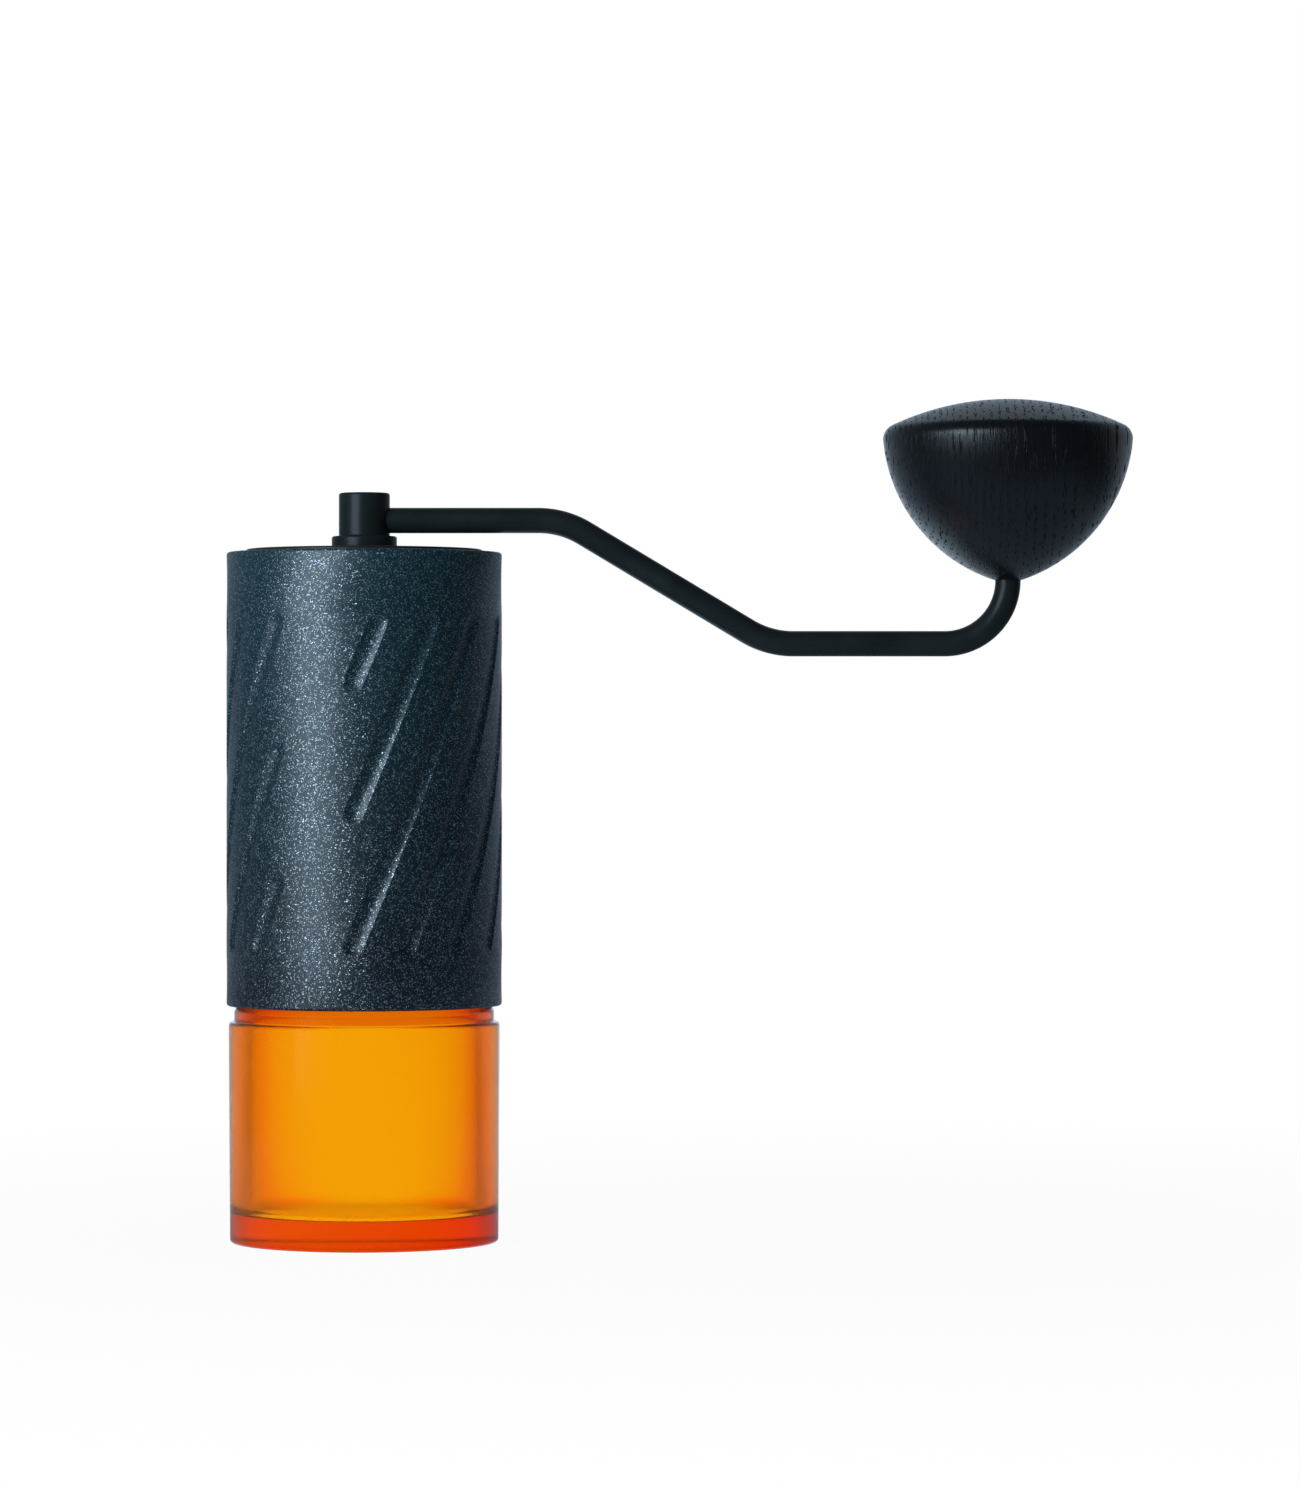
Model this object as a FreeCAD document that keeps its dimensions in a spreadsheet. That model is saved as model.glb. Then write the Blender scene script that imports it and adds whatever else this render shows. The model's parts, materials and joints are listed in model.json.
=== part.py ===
"""Hand crank coffee grinder: a fluted barrel on a screw-on jar, turned by a bent crank with a wooden knob.

Millimetres. +Z runs up the grinding axis, the origin is the centre of the jar's foot, the crank points to +X.
"""

import FreeCAD, Part
import math
import os
import re

import Sketcher

# Driving dimensions: lengths in millimetres, angles in degrees, counts as whole numbers
DIMENSIONS = {
    # barrel and its flutes
    "barrel_diameter": 54.0,
    "barrel_length": 88.9,
    "barrel_wall": 1.4,
    "barrel_edge_round": 0.6,
    "flute_count": 16,
    "flute_depth": 0.6,
    "flute_cutter_radius": 2.5,
    "flute_low_margin": 12.45,
    "flute_high_margin": 14.3,
    "flute_twist_rate": 0.886,
    "panel_angle": -108.8,
    "panel_width": 34.6,
    # jar
    "jar_height": 43.2,
    "jar_reveal": 3.1,
    "jar_foot_inset": 0.7,
    "jar_shoulder_inset": 0.4,
    "jar_wall": 4.2,
    "jar_floor": 5.6,
    "jar_foot_round": 1.6,
    "jar_shoulder_round": 0.8,
    "jar_floor_round": 1.2,
    "bore_step_lift": 3.8,
    "bore_step_height": 1.8,
    "collar_inset": 1.1,
    "collar_round": 1.2,
    "neck_length": 8.0,
    "neck_wall": 2.0,
    "thread_lead": 6.0,
    "thread_starts": 2,
    "thread_height": 0.8,
    "thread_base": 1.6,
    "thread_crest": 0.9,
    "thread_rise": 2.6,
    "thread_start": 2.45,
    "thread_gap": 0.3,
    "seal_section": 1.1,
    "seal_proud": 0.2,
    "seal_gap": 0.1,
    "seal_lip": 0.6,
    # frames inside the barrel
    "fit_gap": 0.03,
    "frame_skirt": 1.07,
    "frame_joint_height": 37.7,
    "hopper_wall": 3.17,
    "hopper_rim_drop": 0.3,
    "lid_seat_wall": 2.07,
    "lid_seat_depth": 1.5,
    "neck_end_gap": 0.4,
    "spoke_count": 3,
    "spoke_width": 4.5,
    "spoke_height": 6.0,
    "seat_wall": 2.3,
    "seat_lip": 1.6,
    "seat_floor": 1.0,
    "funnel_height": 10.5,
    "throat_lip": 1.95,
    "throat_height": 1.3,
    # bearings
    "lower_bearing_height": 30.7,
    "upper_bearing_height": 57.9,
    "bearing_bore": 8.0,
    "bearing_diameter": 16.0,
    "bearing_width": 5.0,
    "bearing_ring": 1.1,
    "ball_diameter": 2.4,
    "ball_count": 9,
    "ball_gap": 0.03,
    "cage_wall": 0.7,
    "cage_height": 3.4,
    # axle
    "collar_height": 2.0,
    "hex_flats": 6.0,
    "socket_gap": 0.05,
    "drive_flats": 6.2,
    "tail_diameter": 6.0,
    "tail_gap": 0.05,
    "tail_stub": 1.7,
    "drive_below_burr": 2.8,
    "drive_above_burr": 12.5,
    "sleeve_shoulder_gap": 0.5,
    # burrs
    "burr_height_in_barrel": 11.7,
    "burr_diameter": 24.8,
    "burr_height": 14.0,
    "burr_land": 1.2,
    "burr_fine_height": 4.3,
    "burr_fine_angle": 12.0,
    "burr_top_diameter": 14.8,
    "burr_running_gap": 0.25,
    "burr_recess_diameter": 11.4,
    "burr_recess_depth": 4.0,
    "burr_coarse_teeth": 7,
    "burr_fine_teeth": 36,
    "fine_tooth_depth": 0.45,
    "coarse_tooth_depth": 2.2,
    "ring_wall": 4.8,
    "ring_height": 13.0,
    "ring_lift": 0.2,
    "ring_mouth_flare": 1.9,
    "retainer_height": 1.75,
    "retainer_lap": 3.6,
    "screw_count": 3,
    "screw_offset": 1.5,
    "screw_diameter": 2.4,
    "screw_length": 6.0,
    "screw_head_diameter": 4.2,
    "screw_head_height": 1.4,
    # burr spring, click disc and dial
    "washer_height": 1.2,
    "washer_diameter": 10.2,
    "spring_wire": 0.9,
    "spring_diameter": 9.6,
    "spring_turns": 4,
    "click_disc_diameter": 18.0,
    "click_disc_height": 1.4,
    "click_count": 24,
    "click_circle": 13.6,
    "click_ball_diameter": 2.0,
    "click_rise": 0.25,
    "click_gap": 0.05,
    "click_ball_count": 2,
    "click_hole_depth": 5.0,
    "click_wire": 0.3,
    "click_turns": 3.5,
    "dial_diameter": 22.0,
    "dial_height": 7.0,
    "dial_gap": 0.1,
    "dial_counterbore": 2.6,
    "dial_scallops": 12,
    "dial_scallop_radius": 1.8,
    # lid and crank hub
    "lid_thickness": 2.1,
    "lid_gap": 0.3,
    "lid_skirt_depth": 3.0,
    "lid_skirt_wall": 1.5,
    "lid_edge_round": 0.4,
    "lid_play": 0.1,
    "lid_hole_gap": 0.3,
    "clip_height": 0.8,
    "clip_bite": 0.45,
    "clip_reach": 1.6,
    "hub_diameter": 10.0,
    "hub_height": 8.5,
    "hub_round": 0.5,
    "flange_diameter": 12.8,
    "flange_height": 2.5,
    "flange_round": 0.4,
    "sleeve_wall": 1.1,
    "sleeve_length": 9.9,
    "socket_roof": 1.4,
    # crank arm
    "arm_diameter": 5.0,
    "arm_root": 1.0,
    "arm_rise": 3.1,
    "arm_drop": 24.2,
    "upper_run_end": 34.2,
    "lower_run_start": 84.2,
    "slope_bend": 17.5,
    "pin_bend": 12.4,
    "crank_radius": 126.4,
    # knob
    "knob_gap": 0.8,
    "knob_diameter": 49.2,
    "knob_rim_height": 28.8,
    "knob_dome": 6.0,
    "knob_bowl_radius": 32.0,
    "knob_rim_round": 3.0,
    "bush_wall": 1.5,
    "bush_height": 25.0,
    "bush_cap": 1.5,
    "pin_running_gap": 0.05,
    "pin_clip_drop": 6.0,
    "pin_clip_bite": 0.35,
    "pin_clip_reach": 0.6,
}

# Sizes that follow from the driving dimensions
DERIVED = {
    "barrel_radius": "barrel_diameter / 2",
    "barrel_bottom": "jar_height + jar_reveal",
    "barrel_top": "barrel_bottom + barrel_length",
    "barrel_bore": "barrel_radius - barrel_wall",
    "flute_bottom": "barrel_bottom + flute_low_margin",
    "flute_top": "barrel_top - flute_high_margin",
    "frame_radius": "barrel_bore - fit_gap",
    "thread_bore": "frame_radius - frame_skirt",
    "foot_radius": "barrel_radius - jar_foot_inset",
    "shoulder_radius": "barrel_radius - jar_shoulder_inset",
    "collar_radius": "shoulder_radius - collar_inset",
    "neck_radius": "thread_bore - thread_height - thread_gap",
    "neck_bore": "neck_radius - neck_wall",
    "neck_top": "barrel_bottom + neck_length",
    "jar_bore": "foot_radius - jar_wall",
    "bore_step": "jar_height + bore_step_lift",
    "groove_top": "neck_top - seal_lip",
    "groove_bottom": "groove_top - seal_section - 2 * seal_gap",
    "seal_circle": "neck_radius + seal_proud - seal_section / 2",
    "groove_radius": "seal_circle - seal_section / 2 - seal_gap",
    "seal_bore": "seal_circle + seal_section / 2 + seal_gap / 2",
    "seal_bore_bottom": "groove_bottom - 0.15",
    "frame_ceiling": "neck_top + neck_end_gap",
    "jar_thread_height": "barrel_bottom + thread_start",
    "frame_thread_height": "jar_thread_height - thread_lead / thread_starts / 2",
    "frame_joint": "barrel_bottom + frame_joint_height",
    "hopper_bore": "frame_radius - hopper_wall",
    "hopper_top": "barrel_top - hopper_rim_drop",
    "lid_seat": "barrel_top - lid_seat_depth",
    "lid_seat_radius": "frame_radius - lid_seat_wall",
    "lower_bearing": "barrel_bottom + lower_bearing_height",
    "upper_bearing": "barrel_bottom + upper_bearing_height",
    "seat_bore": "bearing_diameter / 2 + fit_gap",
    "seat_radius": "seat_bore + seat_wall",
    "lip_radius": "seat_bore - seat_lip",
    "ball_circle": "(bearing_bore + bearing_diameter) / 4",
    "inner_ring_radius": "bearing_bore / 2 + bearing_ring",
    "outer_ring_bore": "bearing_diameter / 2 - bearing_ring",
    "track_radius": "ball_diameter / 2 + ball_gap",
    "track_half": "sqrt(track_radius ^ 2 - (ball_circle - inner_ring_radius) ^ 2)",
    "axle_radius": "bearing_bore / 2 - fit_gap",
    "burr_bottom": "barrel_bottom + burr_height_in_barrel",
    "burr_top": "burr_bottom + burr_height",
    "burr_radius": "burr_diameter / 2",
    "fine_bottom": "burr_bottom + burr_land",
    "fine_top": "fine_bottom + burr_fine_height",
    "fine_top_radius": "burr_radius - burr_fine_height * tan(burr_fine_angle * 1 deg)",
    "recess_floor": "burr_top - burr_recess_depth",
    "ring_bottom": "burr_bottom + ring_lift",
    "ring_top": "ring_bottom + ring_height",
    "ring_radius": "burr_radius + burr_running_gap + ring_wall",
    "ring_waist": "fine_top_radius + burr_running_gap",
    "ring_outlet": "ring_waist + (fine_top - ring_bottom) * tan(burr_fine_angle * 1 deg)",
    "ring_mouth": "ring_waist + ring_mouth_flare",
    "ring_pocket": "ring_radius + fit_gap",
    "throat_radius": "ring_radius - throat_lip",
    "funnel_bottom": "ring_top + fit_gap + throat_height",
    "funnel_top": "funnel_bottom + funnel_height",
    "retainer_top": "ring_bottom - fit_gap",
    "retainer_bottom": "retainer_top - retainer_height",
    "retainer_bore": "ring_radius - retainer_lap",
    "screw_circle": "ring_radius + screw_offset",
    "retainer_radius": "screw_circle + screw_head_diameter / 2",
    "retainer_cavity": "retainer_radius + 0.3",
    "washer_bottom": "lower_bearing - washer_height",
    "disc_bottom": "burr_bottom - click_disc_height",
    "dial_top": "disc_bottom - dial_gap",
    "dial_bottom": "dial_top - dial_height",
    "tail_bottom": "dial_bottom - tail_stub",
    "tail_radius": "tail_diameter / 2",
    "drive_bottom": "burr_bottom - drive_below_burr",
    "drive_top": "burr_bottom + drive_above_burr",
    "click_ball_height": "disc_bottom - click_gap - click_ball_diameter / 2",
    "click_hole_radius": "click_ball_diameter / 2 + 0.1",
    "click_hole_floor": "dial_top - click_hole_depth",
    "lid_top": "lid_seat + lid_thickness",
    "lid_radius": "lid_seat_radius - lid_gap",
    "flange_bottom": "lid_top + lid_play",
    "flange_top": "flange_bottom + flange_height",
    "hub_top": "flange_top + hub_height",
    "socket_top": "flange_top - socket_roof",
    "sleeve_bottom": "flange_bottom - sleeve_length",
    "sleeve_radius": "hex_flats / 2 / cos(30 deg) + socket_gap + sleeve_wall",
    "hex_bottom": "sleeve_bottom - sleeve_shoulder_gap",
    "lid_clip_top": "lid_seat - lid_play",
    "lid_clip_bottom": "lid_clip_top - clip_height",
    "arm_radius": "arm_diameter / 2",
    "upper_run": "flange_top + arm_rise",
    "lower_run": "upper_run - arm_drop",
    "knob_bottom": "lower_run + pin_bend + knob_gap",
    "bush_bore": "arm_radius + pin_running_gap",
    "bush_radius": "bush_bore + bush_wall",
    "bush_top": "knob_bottom + bush_height",
    "pin_top": "bush_top - bush_cap",
    "pin_clip_top": "pin_top - pin_clip_drop",
    "pin_clip_bottom": "pin_clip_top - clip_height",
    "knob_bore": "bush_radius + fit_gap",
    "knob_rim": "knob_bottom + knob_rim_height",
    "knob_top": "knob_rim + knob_dome",
    "knob_dome_radius": "(knob_diameter ^ 2 / 4 + knob_dome ^ 2) / 2 / knob_dome",
}

# One STEP file is written for each of these sub-parts
NODES = [
    "barrel_shell", "hopper_frame", "burr_frame", "ring_burr", "burr_retainer", "retainer_screws",
    "upper_outer_race", "upper_inner_race", "upper_bearing_balls", "upper_bearing_cage",
    "lower_outer_race", "lower_inner_race", "lower_bearing_balls", "lower_bearing_cage",
    "axle", "cone_burr", "click_disc", "burr_spring", "spring_washer",
    "adjustment_dial", "click_balls", "click_springs",
    "jar", "jar_seal", "lid", "crank_hub", "lid_clip", "crank_arm", "pin_clip", "knob", "knob_bush",
]

doc = FreeCAD.newDocument("coffee_grinder")
sheet = doc.addObject("Spreadsheet::Sheet", "Dims")
for row, (alias, size) in enumerate(DIMENSIONS.items(), start=1):
    sheet.set(f"A{row}", alias)
    sheet.set(f"B{row}", str(size))
    sheet.setAlias(f"B{row}", alias)
doc.recompute()


def formula(text):
    """Spell a size out in sheet cells, with derived names replaced by what they follow from."""
    def spell(match):
        word = match.group(0)
        if word in DERIVED:
            return "(" + formula(DERIVED[word]) + ")"
        if word in DIMENSIONS:
            return "Dims." + word
        return word
    return re.sub(r"[A-Za-z_][A-Za-z_0-9]*", spell, text)


def number(text):
    """Present value of a size."""
    return float(sheet.evalExpression(formula(text)))


def bind(item, **sizes):
    """Tie properties to the sheet; a double underscore stands for a dot in the property's path."""
    for path, text in sizes.items():
        item.setExpression(path.replace("__", "."), formula(text))


def datum(body, role):
    """A body's own origin plane or axis."""
    return next(item for item in body.Origin.OriginFeatures if item.Role == role)


def new_sketch(body, name, role, lift=None):
    """A sketch on one of the body's origin planes, raised along the plane's normal."""
    sketch = body.newObject("Sketcher::SketchObject", name)
    sketch.AttachmentSupport = [(datum(body, role), "")]
    sketch.MapMode = "FlatFace"
    if lift:
        bind(sketch, AttachmentOffset__Base__z=lift)
    return sketch


def pin_point(sketch, curve, end, x, y):
    """Hold one end of a curve at a place given by two sizes."""
    for size, kind, axis in ((x, "DistanceX", -2), (y, "DistanceY", -1)):
        if size == "0":
            sketch.addConstraint(Sketcher.Constraint("PointOnObject", curve, end, axis))
        else:
            held = sketch.addConstraint(Sketcher.Constraint(kind, -1, 1, curve, end, number(size)))
            bind(sketch, **{f"Constraints[{held}]": size})


def arc_between(first, last, radius):
    """The short counter-clockwise arc from one point to another."""
    chord = last - first
    left = FreeCAD.Vector(-chord.y, chord.x, 0).normalize()
    centre = (first + last) / 2 + left * math.sqrt(radius ** 2 - chord.Length ** 2 / 4)
    start = math.atan2(first.y - centre.y, first.x - centre.x)
    stop = math.atan2(last.y - centre.y, last.x - centre.x)
    return Part.ArcOfCircle(Part.Circle(centre, FreeCAD.Vector(0, 0, 1), radius), start, stop)


def outline(body, name, role, corners, lift=None):
    """A closed sketch; a corner is (x, y), or (x, y, radius) where an arc leads on to the next corner."""
    sketch = new_sketch(body, name, role, lift)
    points = [FreeCAD.Vector(number(corner[0]), number(corner[1]), 0) for corner in corners]
    count = len(corners)
    for index, corner in enumerate(corners):
        first = points[index]
        last = points[(index + 1) % count]
        if len(corner) == 3:
            sketch.addGeometry(arc_between(first, last, number(corner[2])), False)
        else:
            sketch.addGeometry(Part.LineSegment(first, last), False)
    for index in range(count):
        sketch.addConstraint(Sketcher.Constraint("Coincident", index, 2, (index + 1) % count, 1))
    for index, corner in enumerate(corners):
        pin_point(sketch, index, 1, corner[0], corner[1])
        if len(corner) == 3:
            held = sketch.addConstraint(Sketcher.Constraint("Radius", index, number(corner[2])))
            bind(sketch, **{f"Constraints[{held}]": corner[2]})
    return sketch


def circle(body, name, role, x, y, radius, lift=None):
    """A sketch of one circle."""
    sketch = new_sketch(body, name, role, lift)
    centre = FreeCAD.Vector(number(x), number(y), 0)
    sketch.addGeometry(Part.Circle(centre, FreeCAD.Vector(0, 0, 1), number(radius)), False)
    pin_point(sketch, 0, 3, x, y)
    held = sketch.addConstraint(Sketcher.Constraint("Radius", 0, number(radius)))
    bind(sketch, **{f"Constraints[{held}]": radius})
    return sketch


def turn(body, name, corners):
    """Add a solid of revolution about the body's Z axis, from corners given as (radius, height)."""
    sketch = outline(body, name + "_profile", "XZ_Plane", corners)
    feature = body.newObject("PartDesign::Revolution", name + "_turn")
    feature.Profile = sketch
    feature.ReferenceAxis = (sketch, ["V_Axis"])
    feature.Angle = 360
    return feature


def turned(label, corners):
    """A body that starts as a solid of revolution."""
    body = doc.addObject("PartDesign::Body", label)
    turn(body, label, corners)
    return body


def pad(body, sketch, length):
    """Raise a sketch along its plane's normal."""
    feature = body.newObject("PartDesign::Pad", sketch.Name + "_pad")
    feature.Profile = sketch
    bind(feature, Length=length)
    return feature


def pocket(body, sketch, length):
    """Cut a sketch into the body along its plane's normal."""
    feature = body.newObject("PartDesign::Pocket", sketch.Name + "_pocket")
    feature.Profile = sketch
    feature.Reversed = True
    bind(feature, Length=length)
    return feature


def repeat(body, feature, count):
    """Repeat a feature round the body's Z axis."""
    pattern = body.newObject("PartDesign::PolarPattern", feature.Name + "_ring")
    pattern.Originals = [feature]
    pattern.Axis = (datum(body, "Z_Axis"), [""])
    pattern.Angle = 360
    bind(pattern, Occurrences=count)
    body.Tip = pattern
    return pattern


def round_rims(body, radius, rims):
    """Round the circular edges found at each (radius, height)."""
    doc.recompute()
    sharp = body.Tip
    places = [(number(rim[0]), number(rim[1])) for rim in rims]
    names = []
    for index, edge in enumerate(sharp.Shape.Edges, start=1):
        if edge.Degenerated or not isinstance(edge.Curve, Part.Circle):
            continue
        for reach, height in places:
            if abs(edge.Curve.Radius - reach) < 1e-3 and abs(edge.Curve.Center.z - height) < 1e-3:
                names.append(f"Edge{index}")
                break
    feature = body.newObject("PartDesign::Fillet", body.Name + "_round")
    feature.Base = (sharp, names)
    bind(feature, Radius=radius)
    return feature


def hexagon(flats):
    """Corners of a hexagon of a given width across its flats."""
    reach = f"({flats}) / 2 / cos(30 deg)"
    corners = []
    for step in range(6):
        y = "0" if step % 3 == 0 else f"{reach} * sin({60 * step} deg)"
        corners.append((f"{reach} * cos({60 * step} deg)", y))
    return corners


def ridge(body, name, root, crest, height):
    """Add a screw thread of several starts, as helical ridges from a root radius to a crest radius."""
    corners = [(root, f"{height} - thread_base / 2"), (crest, f"{height} - thread_crest / 2"),
               (crest, f"{height} + thread_crest / 2"), (root, f"{height} + thread_base / 2")]
    sketch = outline(body, name + "_section", "XZ_Plane", corners)
    feature = body.newObject("PartDesign::AdditiveHelix", name)
    feature.Profile = sketch
    feature.ReferenceAxis = (sketch, ["V_Axis"])
    feature.Mode = "pitch-height-angle"
    bind(feature, Pitch="thread_lead", Height="thread_rise")
    repeat(body, feature, "thread_starts")


def coil(label, radius, wire, bottom, top, turns):
    """A coil spring between two heights: one unbroken round wire."""
    body = doc.addObject("PartDesign::Body", label)
    sketch = circle(body, label + "_section", "XZ_Plane", radius, f"{bottom} + {wire} / 2", f"{wire} / 2")
    feature = body.newObject("PartDesign::AdditiveHelix", label + "_coil")
    feature.Profile = sketch
    feature.ReferenceAxis = (sketch, ["V_Axis"])
    feature.Mode = "height-turns-angle"
    bind(feature, Height=f"{top} - ({bottom}) - {wire}", Turns=turns)
    gap = (number(top) - number(bottom) - number(wire)) / number(turns) - number(wire)
    print(f"{label}: least gap between turns {gap:.2f} mm")
    return body


def ring_place(radius, height, angle):
    """Placement at a radius, height and angle round the Z axis."""
    spin = FreeCAD.Rotation(FreeCAD.Vector(0, 0, 1), angle)
    return FreeCAD.Placement(spin.multVec(FreeCAD.Vector(radius, 0, height)), spin)


def spheres(name, radius, circle_radius, height, count):
    """A ring of equal balls with their poles along the ring's radii, gathered in one compound."""
    lie_down = FreeCAD.Placement(FreeCAD.Vector(0, 0, 0), FreeCAD.Rotation(FreeCAD.Vector(0, 1, 0), 90))
    balls = []
    for step in range(int(number(count))):
        ball = doc.addObject("Part::Sphere", f"{name}_{step}")
        bind(ball, Radius=radius)
        seat = ring_place(number(circle_radius), number(height), 360 / number(count) * step)
        ball.Placement = seat.multiply(lie_down)
        balls.append(ball)
    return gather(name, balls)


def gather(name, items):
    """Several solids as one compound."""
    compound = doc.addObject("Part::Compound", name)
    compound.Links = items
    return compound


def cut(label, base, tool):
    """A sub-part left when a tool is cut from a base."""
    result = doc.addObject("Part::Cut", label)
    result.Base = base
    result.Tool = tool
    return result


def tooth_cutters(name, count, section, length, place):
    """V-shaped cutters round the axis; place is (radius, height, turn, lean, skew), angles in degrees."""
    radius, height, turn_angle, lean, skew = place
    cutters = []
    for step in range(int(number(count))):
        cutter = doc.addObject("Part::Prism", f"{name}_{step}")
        cutter.Polygon = 3
        bind(cutter, Circumradius=section, Height=length)
        tilt = FreeCAD.Rotation(FreeCAD.Vector(1, 0, 0), skew)
        tilt = tilt.multiply(FreeCAD.Rotation(FreeCAD.Vector(0, 1, 0), lean))
        tilt = tilt.multiply(FreeCAD.Rotation(FreeCAD.Vector(0, 0, 1), turn_angle))
        seat = ring_place(number(radius), number(height), 360 / number(count) * step)
        cutter.Placement = seat.multiply(FreeCAD.Placement(FreeCAD.Vector(0, 0, 0), tilt))
        cutters.append(cutter)
    return gather(name, cutters)


def flute_cutter(low, high, angle):
    """A round-nosed cutter that follows the barrel's twist between two heights."""
    radius = number("flute_cutter_radius")
    path_radius = number("barrel_radius + flute_cutter_radius - flute_depth")
    lead = 360 / number("flute_twist_rate")
    path = Part.Wire(Part.makeHelix(lead, high - low, path_radius).Edges)
    heading = FreeCAD.Vector(0, 2 * math.pi * path_radius / lead, 1)
    start = FreeCAD.Vector(path_radius, 0, 0)
    section = Part.Wire(Part.Circle(start, heading, radius).toShape())
    body = path.makePipeShell([section], True, True)
    sweep = math.radians((high - low) * number("flute_twist_rate"))
    stop = FreeCAD.Vector(path_radius * math.cos(sweep), path_radius * math.sin(sweep), high - low)
    nose_radius = radius + 0.02
    cutter = body.fuse([Part.makeSphere(nose_radius, start), Part.makeSphere(nose_radius, stop)])
    cutter.rotate(FreeCAD.Vector(0, 0, 0), FreeCAD.Vector(0, 0, 1), angle)
    cutter.translate(FreeCAD.Vector(0, 0, low))
    return cutter


def flute_spans():
    """Yield (low, high, angle at low) of each flute, stopped short where it would cross the bare panel."""
    bottom = number("flute_bottom")
    top = number("flute_top")
    rate = number("flute_twist_rate")
    width = number("panel_width")
    panel_end = number("panel_angle") + width / 2
    shortest = number("flute_cutter_radius")
    for step in range(int(number("flute_count"))):
        beyond = 360 / number("flute_count") * step
        low = bottom
        high = top
        if beyond + (top - bottom) * rate > 360 - width:
            high = bottom + (360 - width - beyond) / rate
            low_again = bottom + (360 - beyond) / rate
            if top - low_again > shortest:
                yield low_again, top, panel_end
        if high - low > shortest:
            yield low, high, panel_end + beyond


# Barrel: a thin metal tube with twisted flutes pressed into its skin
barrel_tube = turned("barrel_tube", [
    ("barrel_bore", "barrel_bottom"), ("barrel_radius", "barrel_bottom"),
    ("barrel_radius", "barrel_top"), ("barrel_bore", "barrel_top")])
round_rims(barrel_tube, "barrel_edge_round", [("barrel_radius", "barrel_bottom"), ("barrel_radius", "barrel_top")])
flutes = doc.addObject("Part::Feature", "flutes")
flutes.Shape = Part.makeCompound([flute_cutter(*span) for span in flute_spans()])
flutes.Placement = FreeCAD.Placement()
cut("barrel_shell", barrel_tube, flutes)


def spokes(body, name, bottom):
    """Arms from a bearing seat out to the frame's wall."""
    corners = [("seat_radius - 0.8", "-spoke_width / 2"), ("frame_radius - 1.0", "-spoke_width / 2"),
               ("frame_radius - 1.0", "spoke_width / 2"), ("seat_radius - 0.8", "spoke_width / 2")]
    arm = pad(body, outline(body, name, "XY_Plane", corners, bottom), "spoke_height")
    repeat(body, arm, "spoke_count")


# Hopper frame: the bean chamber's wall, with a seat for the lid and the upper bearing on three arms
hopper_frame = turned("hopper_frame", [
    ("hopper_bore", "frame_joint"), ("frame_radius", "frame_joint"), ("frame_radius", "hopper_top"),
    ("lid_seat_radius", "hopper_top"), ("lid_seat_radius", "lid_seat"), ("hopper_bore", "lid_seat")])
spokes(hopper_frame, "upper_spoke", "upper_bearing - seat_floor")
turn(hopper_frame, "upper_seat", [
    ("lip_radius", "upper_bearing - seat_floor"), ("seat_radius", "upper_bearing - seat_floor"),
    ("seat_radius", "upper_bearing + bearing_width"), ("seat_bore", "upper_bearing + bearing_width"),
    ("seat_bore", "upper_bearing"), ("lip_radius", "upper_bearing")])

# Burr frame: the jar's thread, the ring burr's pocket, the funnel above it and the lower bearing on three arms
burr_frame = turned("burr_frame", [
    ("thread_bore", "barrel_bottom"), ("frame_radius", "barrel_bottom"), ("frame_radius", "frame_joint"),
    ("hopper_bore", "frame_joint"), ("hopper_bore", "funnel_top"), ("throat_radius", "funnel_bottom"),
    ("throat_radius", "ring_top + fit_gap"), ("ring_pocket", "ring_top + fit_gap"),
    ("ring_pocket", "ring_bottom"), ("retainer_cavity", "ring_bottom"), ("retainer_cavity", "frame_ceiling"),
    ("seal_bore", "frame_ceiling"), ("seal_bore", "seal_bore_bottom"), ("thread_bore", "seal_bore_bottom")])
screw_hole = circle(burr_frame, "screw_hole", "XY_Plane", "screw_circle", "0", "screw_diameter / 2 + fit_gap",
                    "ring_bottom - 0.5")
repeat(burr_frame, pocket(burr_frame, screw_hole, "screw_length - retainer_height + 1.0"), "screw_count")
spokes(burr_frame, "lower_spoke", "lower_bearing")
turn(burr_frame, "lower_seat", [
    ("seat_bore", "lower_bearing"), ("seat_radius", "lower_bearing"),
    ("seat_radius", "lower_bearing + bearing_width + seat_floor"),
    ("lip_radius", "lower_bearing + bearing_width + seat_floor"),
    ("lip_radius", "lower_bearing + bearing_width"), ("seat_bore", "lower_bearing + bearing_width")])
ridge(burr_frame, "frame_thread", "thread_bore + 0.2", "thread_bore - thread_height", "frame_thread_height")


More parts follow.
